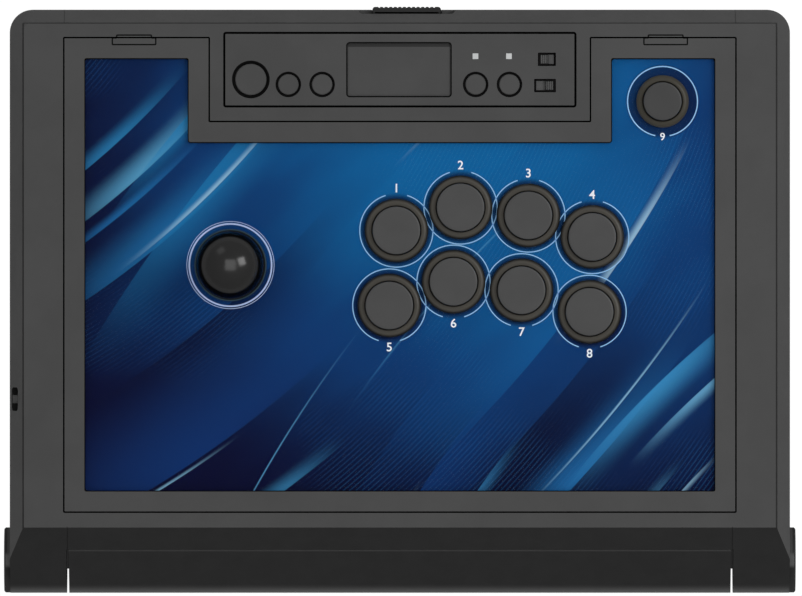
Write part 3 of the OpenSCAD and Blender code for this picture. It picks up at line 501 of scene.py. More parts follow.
@dataclass(frozen=True)
class Laminate(Finish):
    """A circuit board: solder mask over copper tracks and rows of tinned pads."""

    track: str = "#1c5a36"
    pad: str = "#b9b7a6"
    pitch: float = 0.00254

    def paint(self) -> bpy.types.Material:
        """Makes the board. Tracks are the bands between stepped cells, and pads are dots on a grid.

        Returns:
            The material.
        """
        graph = Graph(self.name)
        dots = graph.product(*[graph.math("COSINE", graph.product(axis, 2 * math.pi / self.pitch))
                               for axis in graph.place()[:2]])
        patch = graph.math("GREATER_THAN", graph.noise(60.0, 0.0), 0.56)
        pads = graph.product(graph.spread(dots, 0.62, 0.7), patch)
        cells = graph.add("TexVoronoi", {"Vector": graph.scaled((140.0,) * 3), "Scale": 1.0},
                          distance="MANHATTAN", feature="F1")["Distance"]
        tracks = graph.spread(graph.math("FRACT", graph.product(cells, 4.0)), 0.42, 0.5)
        colour = graph.mix(pads, graph.mix(tracks, self.colour, self.track), self.pad)
        return graph.surface(colour, graph.spread(pads, 0.0, 1.0, 0.42, 0.3),
                             graph.bump(tracks, 0.00003), Metallic=pads)


@dataclass(frozen=True)
class ClearSheet(Finish):
    """The clear panel over the print: nearly unseen but for its gloss and fine rub marks."""

    alpha: float = 0.03
    gloss: float = 0.12

    def paint(self) -> bpy.types.Material:
        """Makes the clear sheet.

        Returns:
            The material.
        """
        graph = Graph(self.name)
        rubs = graph.noise((900.0, 30.0, 30.0), 3.0, 0.6, 0.7)
        return graph.surface(self.colour, graph.spread(rubs, 0.45, 0.8, 0.04, 0.12),
                             graph.bump(rubs, 0.000001), Alpha=self.alpha, IOR=1.49,
                             Specular_IOR_Level=self.gloss)


@dataclass(frozen=True)
class Ink(Finish):
    """Screen-printed ink: fine uneven edges of the mesh, a satin skin and a faint painted glow."""

    # Strength of a painted glow: the ink gives off light though it is no lamp
    glow: float = 0.0

    def paint(self) -> bpy.types.Material:
        """Makes the ink.

        Returns:
            The material.
        """
        graph = Graph(self.name)
        mesh = graph.spread(graph.noise(5200.0, 1.0), 0.3, 0.7)
        # The ink glows faintly in its own colour: painted light
        return graph.surface(graph.tints(mesh, self.colour, 0.94, 1.0), 0.4,
                             graph.bump(mesh, 0.000003), Emission_Color=self.colour,
                             Emission_Strength=self.glow)


@dataclass(frozen=True)
class Arc:
    """One sweeping band of the print: part of a circle round a far centre.

    It has a crisp edge on its circle and fades away from there over its width, inwards, or
    outwards where the width is negative. Places and widths are in millimetres and angles in
    degrees.
    """

    centre: Place
    radius: float
    width: float
    middle: float
    reach: float
    colour: str
    strength: float
    edge: float = 0.5


@dataclass(frozen=True)
class PrintedArt(Finish):
    """The printed sheet: a dark to azure glow, crescents of light and a fine ruled texture.

    Places and sizes are in millimetres.
    """

    deep: str = "#070a34"
    mid: str = "#073c78"
    bright: str = "#0566a6"
    lines: str = "#2f86cc"
    glow_centre: Place = (45.0, 100.0)
    glow_reach: float = 285.0
    glow_drift: float = 38.0
    lines_centre: Place = (-330.0, 260.0)
    lines_pitch: float = 2.1
    lines_share: float = 0.14
    # Painted shadow round each button: its inner and outer radius, and its darkest share
    shade: Range = (17.0, 20.2)
    shade_share: float = 0.3
    buttons: tuple[Place, ...] = ()
    arcs: tuple[Arc, ...] = ()

    def paint(self) -> bpy.types.Material:
        """Makes the print.

        Each arc's share of light is an eased step on its circle, times an eased fall over its
        width, times an eased fall over the angle from its middle. Arcs are laid over the glow
        in turn. Round each button a painted shadow darkens the print.

        Returns:
            The material.
        """
        graph = Graph(self.name)
        spot = [graph.math("DIVIDE", axis, MM) for axis in graph.place()[:2]]
        wide = graph.noise((16.0, 5.0, 5.0), 3.0, 0.55, 0.9)
        drift = graph.spread(wide, 0.2, 0.8, -self.glow_drift, self.glow_drift, False)
        far = graph.math("ADD", self.distance(graph, spot, self.glow_centre), drift)
        reach = graph.spread(far, 0.0, self.glow_reach, 1.0, 0.0)
        colour = graph.mix(graph.spread(reach, 0.0, 0.55), self.deep, self.mid)
        colour = graph.mix(graph.spread(reach, 0.5, 1.0), colour, self.bright)
        for arc in self.arcs:
            colour = graph.mix(self.band(graph, spot, arc), colour, arc.colour)
        colour = graph.mix(self.ruled(graph, spot), colour, self.lines)
        # Painted shadow round each button
        near: Value = self.shade[1]
        for place in self.buttons:
            near = graph.math("MINIMUM", near, self.distance(graph, spot, place))
        dim = graph.spread(near, *self.shade, self.shade_share, 1.0)
        sparkle = graph.spread(graph.noise(6000.0, 1.0), 0.3, 0.7, 0.3, 0.42)
        return graph.surface(graph.mix(dim, self.deep, colour), sparkle, Coat_Weight=0.04,
                             Coat_Roughness=0.06, Specular_IOR_Level=0.1)

    def distance(self, graph: Graph, spot: Sequence[Socket], centre: Place) -> Socket:
        """Gives the shaded spot's distance from a point of the print."""
        along, up = (graph.math("SUBTRACT", a, b) for a, b in zip(spot, centre))
        return graph.math("SQRT", graph.math("MULTIPLY_ADD", up, up, graph.product(along, along)))

    def band(self, graph: Graph, spot: Sequence[Socket], arc: Arc) -> Socket:
        """Gives an arc's share of light at the shaded spot.

        Args:
            graph: The material's tree.
            spot: The spot's x and y.
            arc: The arc.

        Returns:
            The share, from 0 to the arc's strength.
        """
        inward = graph.math("SUBTRACT", arc.radius, self.distance(graph, spot, arc.centre))
        if arc.width < 0:
            inward = graph.product(inward, -1.0)
        across = graph.product(graph.spread(inward, 0.0, arc.edge),
                               graph.spread(inward, arc.edge, abs(arc.width), 1.0, 0.0))
        along, up = (graph.math("SUBTRACT", a, b) for a, b in zip(spot, arc.centre))
        angle = graph.math("SUBTRACT", graph.math("ARCTAN2", up, along), math.radians(arc.middle))
        fall = graph.spread(graph.math("ABSOLUTE", angle), 0.0, math.radians(arc.reach),
                            arc.strength, 0.0)
        return graph.product(across, fall)

    def ruled(self, graph: Graph, spot: Sequence[Socket]) -> Socket:
        """Gives the share of the fine texture: hair lines round a far centre, in soft patches.

        Args:
            graph: The material's tree.
            spot: The shaded spot's x and y.

        Returns:
            The lines' share of light.
        """
        far = self.distance(graph, spot, self.lines_centre)
        wave = graph.math("SINE", graph.product(far, 2 * math.pi / self.lines_pitch))
        patches = graph.spread(graph.noise((9.0, 14.0, 9.0), 2.0, 0.5, 0.6), 0.45, 0.7, 0.0,
                               self.lines_share)
        return graph.product(graph.spread(wave, 0.2, 0.95), patches)


class Inks(Enum):
    """Colours of the printed marks."""

    PALE = "#f0f6fc"
    RING = "#98cdfc"
    LEVER = "#b9cdf8"


def placed(name: str, data: bpy.types.ID) -> bpy.types.Object:
    """Makes an object at the origin and puts it in the scene.

    Args:
        name: Its name.
        data: Its mesh, curve, light or camera.

    Returns:
        The object.
    """
    made = bpy.data.objects.new(name, data)
    bpy.context.scene.collection.objects.link(made)
    return made


def ridden(name: str, mesh: bpy.types.Mesh, body: str, finish: Finish) -> bpy.types.Object:
    """Makes a piece from a mesh.

    Args:
        name: The piece's name.
        mesh: Its mesh, in the frame at rest.
        body: The body that it rides on.
        finish: How it looks.

    Returns:
        The piece.
    """
    piece = placed(name, mesh)
    finish.dress(piece)
    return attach(piece, body)


def mesh_piece(name: str, surface: Surface, body: str, finish: Finish) -> bpy.types.Object:
    """Makes a piece from points and faces, smooth but for its sharp edges.

    Args:
        name: The piece's name.
        surface: Its points in metres, one row each, and the point numbers of each face,
            counter-clockwise from outside.
        body: The body that it rides on.
        finish: How it looks.

    Returns:
        The piece.
    """
    points, faces = surface
    mesh = bpy.data.meshes.new(name)
    mesh.from_pydata([tuple(p) for p in points], [], [tuple(f) for f in faces])
    mesh.validate()
    mesh.update()
    mesh.shade_smooth()
    mesh.set_sharp_from_angle(angle=CREASE)
    return ridden(name, mesh, body, finish)


def middle(node: str) -> np.ndarray:
    """Gives x, y and z of the middle of a CAD node's box, in metres."""
    return np.mean(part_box(node), axis=0)


def half_width(node: str) -> float:
    """Gives half the width of a CAD node's box in metres, the radius of a turned one."""
    return (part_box(node)[1][0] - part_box(node)[0][0]) / 2


def top_of(node: str, lift: float = 0.0) -> float:
    """Gives the z of a CAD node's top in metres, plus a lift in millimetres."""
    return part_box(node)[1][2] + lift * MM


def rectangle(x0: float, y0: float, x1: float, y1: float) -> list[Place]:
    """Gives a rectangle's corners, counter-clockwise from the front left one."""
    return [(x0, y0), (x1, y0), (x1, y1), (x0, y1)]


def corners_of(node: str, grow: float) -> list[Place]:
    """Gives a node's box seen from above, grown by some millimetres, as four corners in them."""
    low, high = np.array(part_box(node))[:, :2] / MM
    return rectangle(*(low - grow), *(high + grow))


def seen_points(node: str) -> np.ndarray:
    """Gives the points of a CAD node's mesh in millimetres, one row each."""
    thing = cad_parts[node]
    return np.array([thing.matrix_world @ v.co for v in thing.data.vertices]) / MM


def level(places: Sequence[Place], faces: Sequence[Sequence[int]], height: float) -> Surface:
    """Lays points that are given in millimetres, with their faces, at a z in metres."""
    flat = np.asarray(places, float) * MM
    return np.column_stack([flat, np.full(len(flat), height)]), faces


def patch(name: str, corners: Sequence[Place], height: float, body: str, finish: Finish) -> None:
    """Makes a flat patch that faces up, from corners in millimetres and a z in metres."""
    mesh_piece(name, level(corners, [range(len(corners))], height), body, finish)


def turned(centre: Sequence[float], profile: np.ndarray, steps: int = 96,
           closed: bool = False) -> Surface:
    """Turns a profile about the vertical through a centre.

    A point is centre + (r cos t, r sin t), z for each profile point (r, z) and each angle t. A
    profile point on the axis becomes one point, with a fan of triangles round it.

    Args:
        centre: The axis's x and y in metres.
        profile: Radii and heights in metres, upwards along the outside.
        steps: How many points there are round the axis.
        closed: Whether the profile's end joins its start.

    Returns:
        The points and the faces.
    """
    points, rings, count = [], [], 0
    for radius, height in profile:
        turn = np.arange(1 if radius < ON_AXIS else steps) * 2 * math.pi / steps
        points.append(np.column_stack([centre[0] + radius * np.cos(turn),
                                       centre[1] + radius * np.sin(turn),
                                       np.full(len(turn), height)]))
        rings.append(np.resize(count + np.arange(len(turn)), steps))
        count += len(turn)
    beside = list(zip(range(steps), [*range(1, steps), 0]))
    faces = [list(dict.fromkeys((low[i], low[j], high[j], high[i])))
             for low, high in zip(rings, rings[1:] + rings[:1] * closed) for i, j in beside]
    return np.concatenate(points), faces


def rounded_profile(corners: Sequence[Spot], steps: int = 6) -> np.ndarray:
    """Rounds the corners of a profile.

    Each corner is replaced by points of the curve (1-t)^2 a + 2t(1-t) p + t^2 b, where a and b
    lie on the two sides at the corner's rounding distance from p.

    Args:
        corners: Radius, height and rounding of each corner, in millimetres.
        steps: How many parts each rounding has.

    Returns:
        The profile in metres.
    """
    places = np.array([c[:2] for c in corners]) * MM
    t = np.linspace(0, 1, steps + 1)[:, None]
    made = [places[:1]]
    for i in range(1, len(corners) - 1):
        here, rounding = places[i], corners[i][2] * MM
        start, end = (here + side / np.linalg.norm(side) * rounding
                      for side in (places[i - 1] - here, places[i + 1] - here))
        curve = (1 - t) ** 2 * start + 2 * t * (1 - t) * here + t**2 * end
        made.append(curve if rounding > 0 else here[None])
    return np.concatenate([*made, places[-1:]])


def flat_ring(centre: Sequence[float], inner: float, outer: float, height: float,
              start: float = 0.0, end: float = 360.0) -> Surface:
    """Makes a flat ring or a part of one, facing up.

    Args:
        centre: Its x and y in metres.
        inner: Its inner radius in millimetres.
        outer: Its outer radius in millimetres.
        height: Its z in metres.
        start: Where it starts, in degrees from +X, counter-clockwise.
        end: Where it ends.

    Returns:
        The points and the faces.
    """
    steps = max(8, int(abs(end - start) / 3))
    angles = np.radians(np.linspace(start, end, steps + 1))
    circle = np.column_stack([np.cos(angles), np.sin(angles)])
    rows = [np.divide(centre[:2], MM) + radius * circle for radius in (inner, outer)]
    faces = [[i, steps + 1 + i, steps + 2 + i, i + 1] for i in range(steps)]
    return level(np.concatenate(rows), faces, height)


def joined(parts: Sequence[Surface]) -> Surface:
    """Joins several surfaces into one.

    Args:
        parts: The points and faces of each.

    Returns:
        The points and the faces of all.
    """
    starts = np.cumsum([0] + [len(points) for points, _ in parts])
    faces = [[start + i for i in face] for start, (_, some) in zip(starts, parts) for face in some]
    return np.concatenate([points for points, _ in parts]), faces


def numeral(name: str, place: Sequence[float], height: float, size: float,
            finish: Finish) -> bpy.types.Object:
    """Writes a plain figure as a flat mesh on the lid.

    Args:
        name: The piece's name, which ends in the figure.
        place: Its middle's x and y in metres.
        height: Its z in metres.
        size: The figure's height in millimetres.
        finish: How it looks.

    Returns:
        The piece.
    """
    curve = bpy.data.curves.new(name + ".text", "FONT")
    curve.body = name[-1]
    curve.size = size * MM * TEXT_SCALE
    curve.offset = size * MM * TEXT_WEIGHT
    curve.align_x = curve.align_y = "CENTER"
    writing = placed(name + ".text", curve)
    bpy.context.view_layer.update()
    graph = bpy.context.evaluated_depsgraph_get()
    mesh = bpy.data.meshes.new_from_object(writing.evaluated_get(graph))
    bpy.data.objects.remove(writing)
    bpy.data.curves.remove(curve)
    mesh.name = name
    mesh.transform(Matrix.Translation(Vector((*place[:2], height))))
    return ridden(name, mesh, "lid", finish)


@dataclass(frozen=True)
class Lamp:
    """A square soft light that isn't seen itself. Its place and side are in metres."""

    name: str
    place: Spot
    side: float
    watts: float

    def hang(self, aim: Spot) -> bpy.types.Object:
        """Adds the light.

        Args:
            aim: The point that it faces.

        Returns:
            The light.
        """
        light = bpy.data.lights.new(self.name, "AREA")
        light.shape = "SQUARE"
        light.size = self.side
        light.energy = self.watts
        lamp = placed(self.name, light)
        lamp.location = self.place
        lamp.rotation_euler = (Vector(aim) - Vector(self.place)).to_track_quat("-Z", "Y").to_euler()
        lamp.visible_camera = False
        return lamp


@dataclass
class Studio:
    """The floor, the soft lights and the camera straight above.

    Sizes are in metres. The camera's lens is long, so the view is nearly parallel.
    """

    aim: Place = (0.0006, 0.0011)
    panel_z: float = 0.062
    frame_width: float = 0.421
    lens: float = 1200.0
    sensor: float = 36.0
    floor_reach: float = 6.0
    floor_z: float = -0.0001
    floor_glow: float = 0.88
    floor_light: float = 1.1
    floor_mirrored: float = 0.1
    paper: Range = (0.93, 0.96)
    room_light: float = 0.9
    room_mirrored: float = 0.08
    lamps: tuple[Lamp, ...] = (Lamp("key", (1.2, 0.42, 1.5), 0.85, 10.0),
                               Lamp("fill", (-1.05, 1.55, 1.1), 0.8, 1.0))
    ball_lamp: Lamp = Lamp("glint", (-0.02, 0.02, 1.6), 1.0, 5.0)

    def floor(self) -> None:
        """Lays the plain pale floor, white but for the soft shadow, and clear from below."""
        graph = Graph("floor_paper")
        path = graph.add("LightPath")
        mirrored = path["Is Glossy Ray"]
        seen = graph.math("MAXIMUM", path["Is Camera Ray"],
                          graph.math("MAXIMUM", mirrored, path["Is Transmission Ray"]))
        light = graph.spread(mirrored, 0.0, 1.0, self.floor_light, self.floor_mirrored, False)
        glow = graph.add("Emission", {"Color": "#ffffff", "Strength": light})[0]
        fibre = graph.mix(graph.noise(300.0, 4.0), *[(v, v, v, 1.0) for v in self.paper])
        paper = graph.add("BsdfDiffuse", {"Color": fibre})[0]
        share = graph.product(seen, self.floor_glow)
        both = graph.add("MixShader", {0: share, 1: paper, 2: glow})[0]
        below = graph.add("NewGeometry")["Backfacing"]
        clear = graph.add("BsdfTransparent")[0]
        graph.end(graph.add("MixShader", {0: below, 1: both, 2: clear})[0])
        reach = self.floor_reach
        mesh = bpy.data.meshes.new("floor")
        sides = ((-1, -1), (1, -1), (1, 1), (-1, 1))
        mesh.from_pydata([(x * reach, y * reach, self.floor_z) for x, y in sides], [],
                         [(0, 1, 2, 3)])
        mesh.materials.append(graph.owner)
        placed("floor", mesh)

    def glint(self, piece: bpy.types.Object) -> None:
        """Adds a wide dim light straight above that only one glossy piece mirrors.

        Args:
            piece: The piece.
        """
        x, y, _ = self.ball_lamp.place
        lit = bpy.data.collections.new("glint_receivers")
        lit.objects.link(piece)
        self.ball_lamp.hang((x, y, self.panel_z)).light_linking.receiver_collection = lit

    def room(self) -> None:
        """Fills the room with even light: another one in mirrors, and white to the camera."""
        graph = Graph("room", world=True)
        path = graph.add("LightPath")
        light, mirrored, seen = (graph.add("Background", {"Strength": strength})[0]
                                 for strength in (self.room_light, self.room_mirrored, 1.0))
        for ray, other in (("Is Glossy Ray", mirrored), ("Is Camera Ray", seen)):
            light = graph.add("MixShader", {0: path[ray], 1: light, 2: other})[0]
        bpy.context.scene.world = graph.end(light)

    def camera(self) -> None:
        """Puts the camera where the frame's width at the panel is that of the photograph."""
        data = bpy.data.cameras.new("camera")
        data.lens = self.lens
        data.sensor_width = self.sensor
        data.dof.use_dof = False
        distance = self.frame_width * self.lens / self.sensor
        data.clip_start = distance / 2
        data.clip_end = distance * 2
        camera = placed("camera", data)
        camera.location = (*self.aim, self.panel_z + distance)
        bpy.context.scene.camera = camera

    def build(self) -> None:
        """Builds the floor, the lights and the camera."""
        self.floor()
        self.room()
        for lamp in self.lamps:
            lamp.hang((0.0, 0.0, self.panel_z))
        self.camera()
        bpy.context.scene.view_settings.view_transform = "Standard"
        log.info("studio: floor, lights and camera")


@dataclass
class CaseShell:
    """The case halves, the hinge, the bezel and the mat: CAD nodes with moulded finishes."""

    finishes: Dressing = (
        (CasePlastic("case_plastic", "#4a4a4a", 0.52), ("top_case",)),
        (CasePlastic("base_plastic", "#464646", 0.55), ("bottom_case",)),
        (CapPlastic("cap_plastic", "#2c2c2c", 0.5), ("hinge_caps",)),
        (Moulded("bezel_plastic", "#4b4b4b", 0.5), ("bezel_frame",)),
        (Moulded("clip_plastic", "#4c4c4c", 0.45), ("bezel_clips",)),
        (Rubber("mat_rubber", "#1a1a1b"), ("base_mat",)),
        (Metal("pin_steel", "#b4b4b2", 0.3), ("hinge_pins",)),
    )

    def build(self) -> None:
        """Dresses the CAD nodes of the case."""
        dress_all(self.finishes)
        log.info("case: shell, base, hinge, bezel and mat dressed")


SOFT_SHADE = Moulded("soft_shade", "#141414", 0.8, shine=0.0)


@dataclass(frozen=True)
class SlideSwitch:
    """A slide switch's slot, with painted shade as dark rims in it and on its knob. Sizes are in
    millimetres.

    The knob rests at the left end of its slot where the side is 1, and at the right end where
    it is -1.
    """

    body: str
    width: float
    side: int
    depth: float = 6.7
    gap: float = 0.2
    down: float = 1.3
    thick: float = 0.95
    thin: float = 0.35
    lift: float = 0.01
    rims: Finish = SOFT_SHADE
    floor: Finish = Moulded("slot_plastic", "#525252", 0.6)

    def knob(self) -> list[Place]:
        """Gives the corners of the knob's top face in millimetres.

        Returns:
            Four corners, counter-clockwise from the front left one.
        """
        places = seen_points(f"{self.body}_switch")
        upper = places[places[:, 2] > places[:, 2].max() - NEAR_EDGE][:, :2]
        return rectangle(*upper.min(axis=0), *upper.max(axis=0))

    def slot(self) -> list[Place]:
        """Gives the corners of the slot in millimetres.

        Returns:
            Four corners, counter-clockwise from the front left one.
        """
        start = self.knob()[0 if self.side > 0 else 1][0] - self.side * self.gap
        near, far = sorted((start, start + self.side * self.width))
        y = middle(f"{self.body}_switch")[1] / MM
        return rectangle(near, y - self.depth / 2, far, y + self.depth / 2)

    @staticmethod
    def border(outer: Sequence[Place], insets: Sequence[float], height: float) -> Surface:
        """Makes a flat frame inside a rectangle, facing up.

        Its inner corners are the outer ones moved in by the widths of the two sides that meet.

        Args:
            outer: The rectangle's corners, counter-clockwise from the front left one.
            insets: Its widths at the left, the front, the right and the back.
            height: Its z in metres.

        Returns:
            The points and the faces.
        """
        left, front, right, back = insets
        inner = np.add(outer, rectangle(left, front, -right, -back))
        faces = [[i, (i + 1) % 4, 4 + (i + 1) % 4, 4 + i] for i in range(4)]
        return level([*outer, *inner], faces, height)

    def build(self) -> None:
        """Makes the slot's floor and the dark rims of painted shade in it and on the knob."""
        deep = top_of("control_strip", self.lift - self.down)
        patch(f"{self.body}_slot_floor", self.slot(), deep, "lid", self.floor)
        # Painted shade: dark rims along the inside of the slot and round the knob's top
        wide, thin = self.thick, self.thin
        sides = [(thin, wide, wide, wide), (wide, wide, thin, wide)][::self.side]
        rim = self.border(self.slot(), sides[0], deep + self.lift * MM)
        mesh_piece(f"{self.body}_slot_shade_rim", rim, "lid", self.rims)
        rim = self.border(self.knob(), sides[1], top_of(f"{self.body}_switch", self.lift))
        mesh_piece(f"{self.body}_knob_shade_rim", rim, self.body, self.rims)


@dataclass
class Seams:
    """Painted shade: dark lines over the narrow gaps between the bezel, the strip, the pad, the
    clips and the case, and more painted shade along edges and in slits.

    Sizes are in millimetres.
    """

    lift: float = 0.01
    bezel_gap: float = 0.4
    bezel_line: float = 0.82
    bezel_rim: float = 10.6
    notch_out: float = 8.35
    strip_gap: float = 0.5
    strip_line: float = 1.15
    strip_r: float = 0.95
    pad_gap: float = 0.2
    pad_line: float = 0.75
    pad_r: float = 1.5
    # Width of the painted shadow along the pad's back edge
    pad_shadow_band: float = 1.7
    clip_line: float = 0.75
    slot_line: float = 0.3
    switches: tuple[SlideSwitch, ...] = (SlideSwitch("lock", 9.1, 1), SlideSwitch("mode", 11.1, -1))
    latch_line: float = 0.9
    latch_thick: float = 3.6
    latch_wide: float = 33.5
    # Painted shade round the inside of the window: how far in it starts and its width
    shadow_in: float = 0.5
    shadow_w: float = 1.4
    window_r: float = 1.4
    slit_x: Range = (174.0, 175.0)
    slit_y: Range = (-141.2, -131.2)
    slit_top: Range = (-119.3, 64.0)
    slit_slope: float = 1.0845
    slit_down: float = 0.9
    # Painted shade laid over the gaps, the slot edges and the latch
    joint: Finish = Moulded("gap_shade", "#050505", 0.8, shine=0.0)
    soft: Finish = SOFT_SHADE
    # Painted shade inside the slits
    slit_shadow_finish: Finish = Moulded("slit_shade", "#363636", 0.7, shine=0.0)
    # Painted shadow along the pad's back edge
    dim: Finish = Moulded("band_shade", "#303030", 0.7)

    @staticmethod
    def line(corners: Sequence[Place], width: float, height: float, radius: float = 0.0,
             steps: int = 7) -> Surface:
        """Makes a flat closed line that follows square corners and rounds them, facing up.

        A corner is a quarter circle, of the radius where the line turns left and of half its
        width where it turns right. A point on it is its centre plus, or minus on a right turn,
        its radius times the outward direction, which turns by a quarter from one side's to the
        next one's. The line's two edges lie half its width to either side of that point.

        Args:
            corners: The corners in millimetres, counter-clockwise.
            width: The line's width in millimetres.
            height: Its z in metres.
            radius: The radius of a left turn along the line's middle, in millimetres.
            steps: The points on each corner.

        Returns:
            The points and the faces.
        """
        places = np.asarray(corners, float)
        going = np.roll(places, -1, axis=0) - places
        going /= np.linalg.norm(going, axis=1)[:, None]
        coming = np.roll(going, 1, axis=0)
        turn = np.sign(coming[:, 0] * going[:, 1] - coming[:, 1] * going[:, 0])[:, None]
        least = width / 2 + 0.02
        bend = np.where(turn > 0, max(radius, least), least)
        first, last = (side[:, ::-1] * (1, -1) for side in (coming, going))
        centre = places - bend * coming - turn * bend * first
        angle = np.linspace(0.0, math.pi / 2, steps)[None, :, None]
        outward = first[:, None] * np.cos(angle) + last[:, None] * np.sin(angle)
        middles = centre[:, None] + (turn * bend)[:, None] * outward
        edges = [(middles + outward * side).reshape(-1, 2) for side in (-width / 2, width / 2)]
        n = len(edges[0])
        faces = [[i, n + i, n + (i + 1) % n, (i + 1) % n] for i in range(n)]
        return level(np.concatenate(edges), faces, height)

    def outline_of_panel(self, grow: float) -> list[Place]:
        """Gives the bezel's outline with the notch for the strip.

        Args:
            grow: How far outside the bezel's edge the outline runs, in millimetres.

        Returns:
            Eight corners in millimetres, counter-clockwise.
        """
        a, b, c, d = corners_of("bezel_frame", grow)
        (left, front), (right, _), *_ = corners_of("control_strip", self.notch_out - grow)
        return [a, b, c, (right, c[1]), (right, front), (left, front), (left, d[1]), d]

    @staticmethod
    def outlines_of_clips() -> list[list[Place]]:
        """Gives the outlines of both bezel clips: a body inside the bezel and a narrower tab.

        Returns:
            Eight corners in millimetres for each clip, counter-clockwise.
        """
        places = seen_points("bezel_clips")
        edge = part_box("bezel_frame")[1][1] / MM
        outlines = []
        for side in (-1, 1):
            x, y = places[places[:, 0] * side > 0][:, :2].T
            body, tab = x[y < y.min() + NEAR_EDGE], x[y > y.max() - NEAR_EDGE]
            x0, x1, t0, t1 = body.min(), body.max(), tab.min(), tab.max()
            outlines.append([(x0, y.min()), (x1, y.min()), (x1, edge), (t1, edge), (t1, y.max()),
                             (t0, y.max()), (t0, edge), (x0, edge)])
        return outlines

    def slit_shadow(self, name: str, side: int) -> None:
        """Makes a flat grey sheet of painted shade inside a slit on the slope, at the end of the
        nose.

        It is flat, and runs down the slope a little under its surface: z falls from the top edge
        by the slope's rise for each unit of y.

        Args:
            name: The piece's name.
            side: -1 on the left and 1 on the right.
        """
        (x0, x1), (y0, y1) = self.slit_x, self.slit_y
        x, y = np.array([x0, x1, x1, x0]) * side, np.array([y0, y0, y1, y1])
        z = self.slit_top[1] - (self.slit_top[0] - y) * self.slit_slope - self.slit_down
        mesh_piece(name, (np.column_stack([x, y, z]) * MM, [[0, 1, 2, 3][::side]]), "base",
                   self.slit_shadow_finish)

    def build(self) -> None:
        """Makes the lines."""
        top, strip_top = (top_of(n, self.lift) for n in ("bezel_frame", "control_strip"))
        # Painted shade over the gaps round the bezel and the strip
        gaps = [self.line(self.outline_of_panel(self.bezel_gap / 2), self.bezel_line, top),
                self.line(corners_of("control_strip", self.strip_gap / 2), self.strip_line, top,
                          self.strip_r)]
        mesh_piece("panel_gaps", joined(gaps), "lid", self.joint)
        # Painted shade: a dark strip round the inside of the window, along its edge
        window = self.outline_of_panel(-self.bezel_rim - self.shadow_in + self.shadow_w / 2)
        shadow_strip = self.line(window, self.shadow_w, top_of("clear_panel", self.lift),
                           self.window_r + self.shadow_w / 2)
        mesh_piece("window_edge_shadow", shadow_strip, "lid", self.soft)
        # Painted shade along the slots' edges
        edges = [self.line(switch.slot(), self.slot_line, strip_top) for switch in self.switches]
        mesh_piece("slot_edges", joined(edges), "lid", self.joint)
        for switch in self.switches:
            switch.build()
        # Painted shade: dark lines round the clips and the pad
        fine = [self.line(clip, self.clip_line, top_of("bezel_clips", self.lift))
                for clip in self.outlines_of_clips()]
        fine.append(self.line(corners_of("touch_pad", self.pad_gap / 2), self.pad_line, strip_top,
                              self.pad_r))
        mesh_piece("fine_gaps", joined(fine), "lid", self.soft)
        # Painted shadow along the pad's back edge
        (x0, y0), (x1, _), (_, y1), _ = corners_of("touch_pad", -self.pad_line / 2)
        patch("pad_shadow_band", rectangle(x0, y1 - self.pad_shadow_band, x1, y1), top_of("touch_pad", self.lift),
              "pad", self.dim)
        x, half = middle("latch_button")[0] / MM, self.latch_wide / 2
        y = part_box("latch_button")[1][1] / MM - self.latch_thick
        patch("latch_shade", rectangle(x - half, y, x + half, y + self.latch_line),
              top_of("latch_button", self.lift), "latch", self.joint)
        # Painted shade inside both slits
        self.slit_shadow("slit_shadow_left", -1)
        self.slit_shadow("slit_shadow_right", 1)
        log.info("seams: gaps of the bezel, the strip, the pad, the clips and the slots")


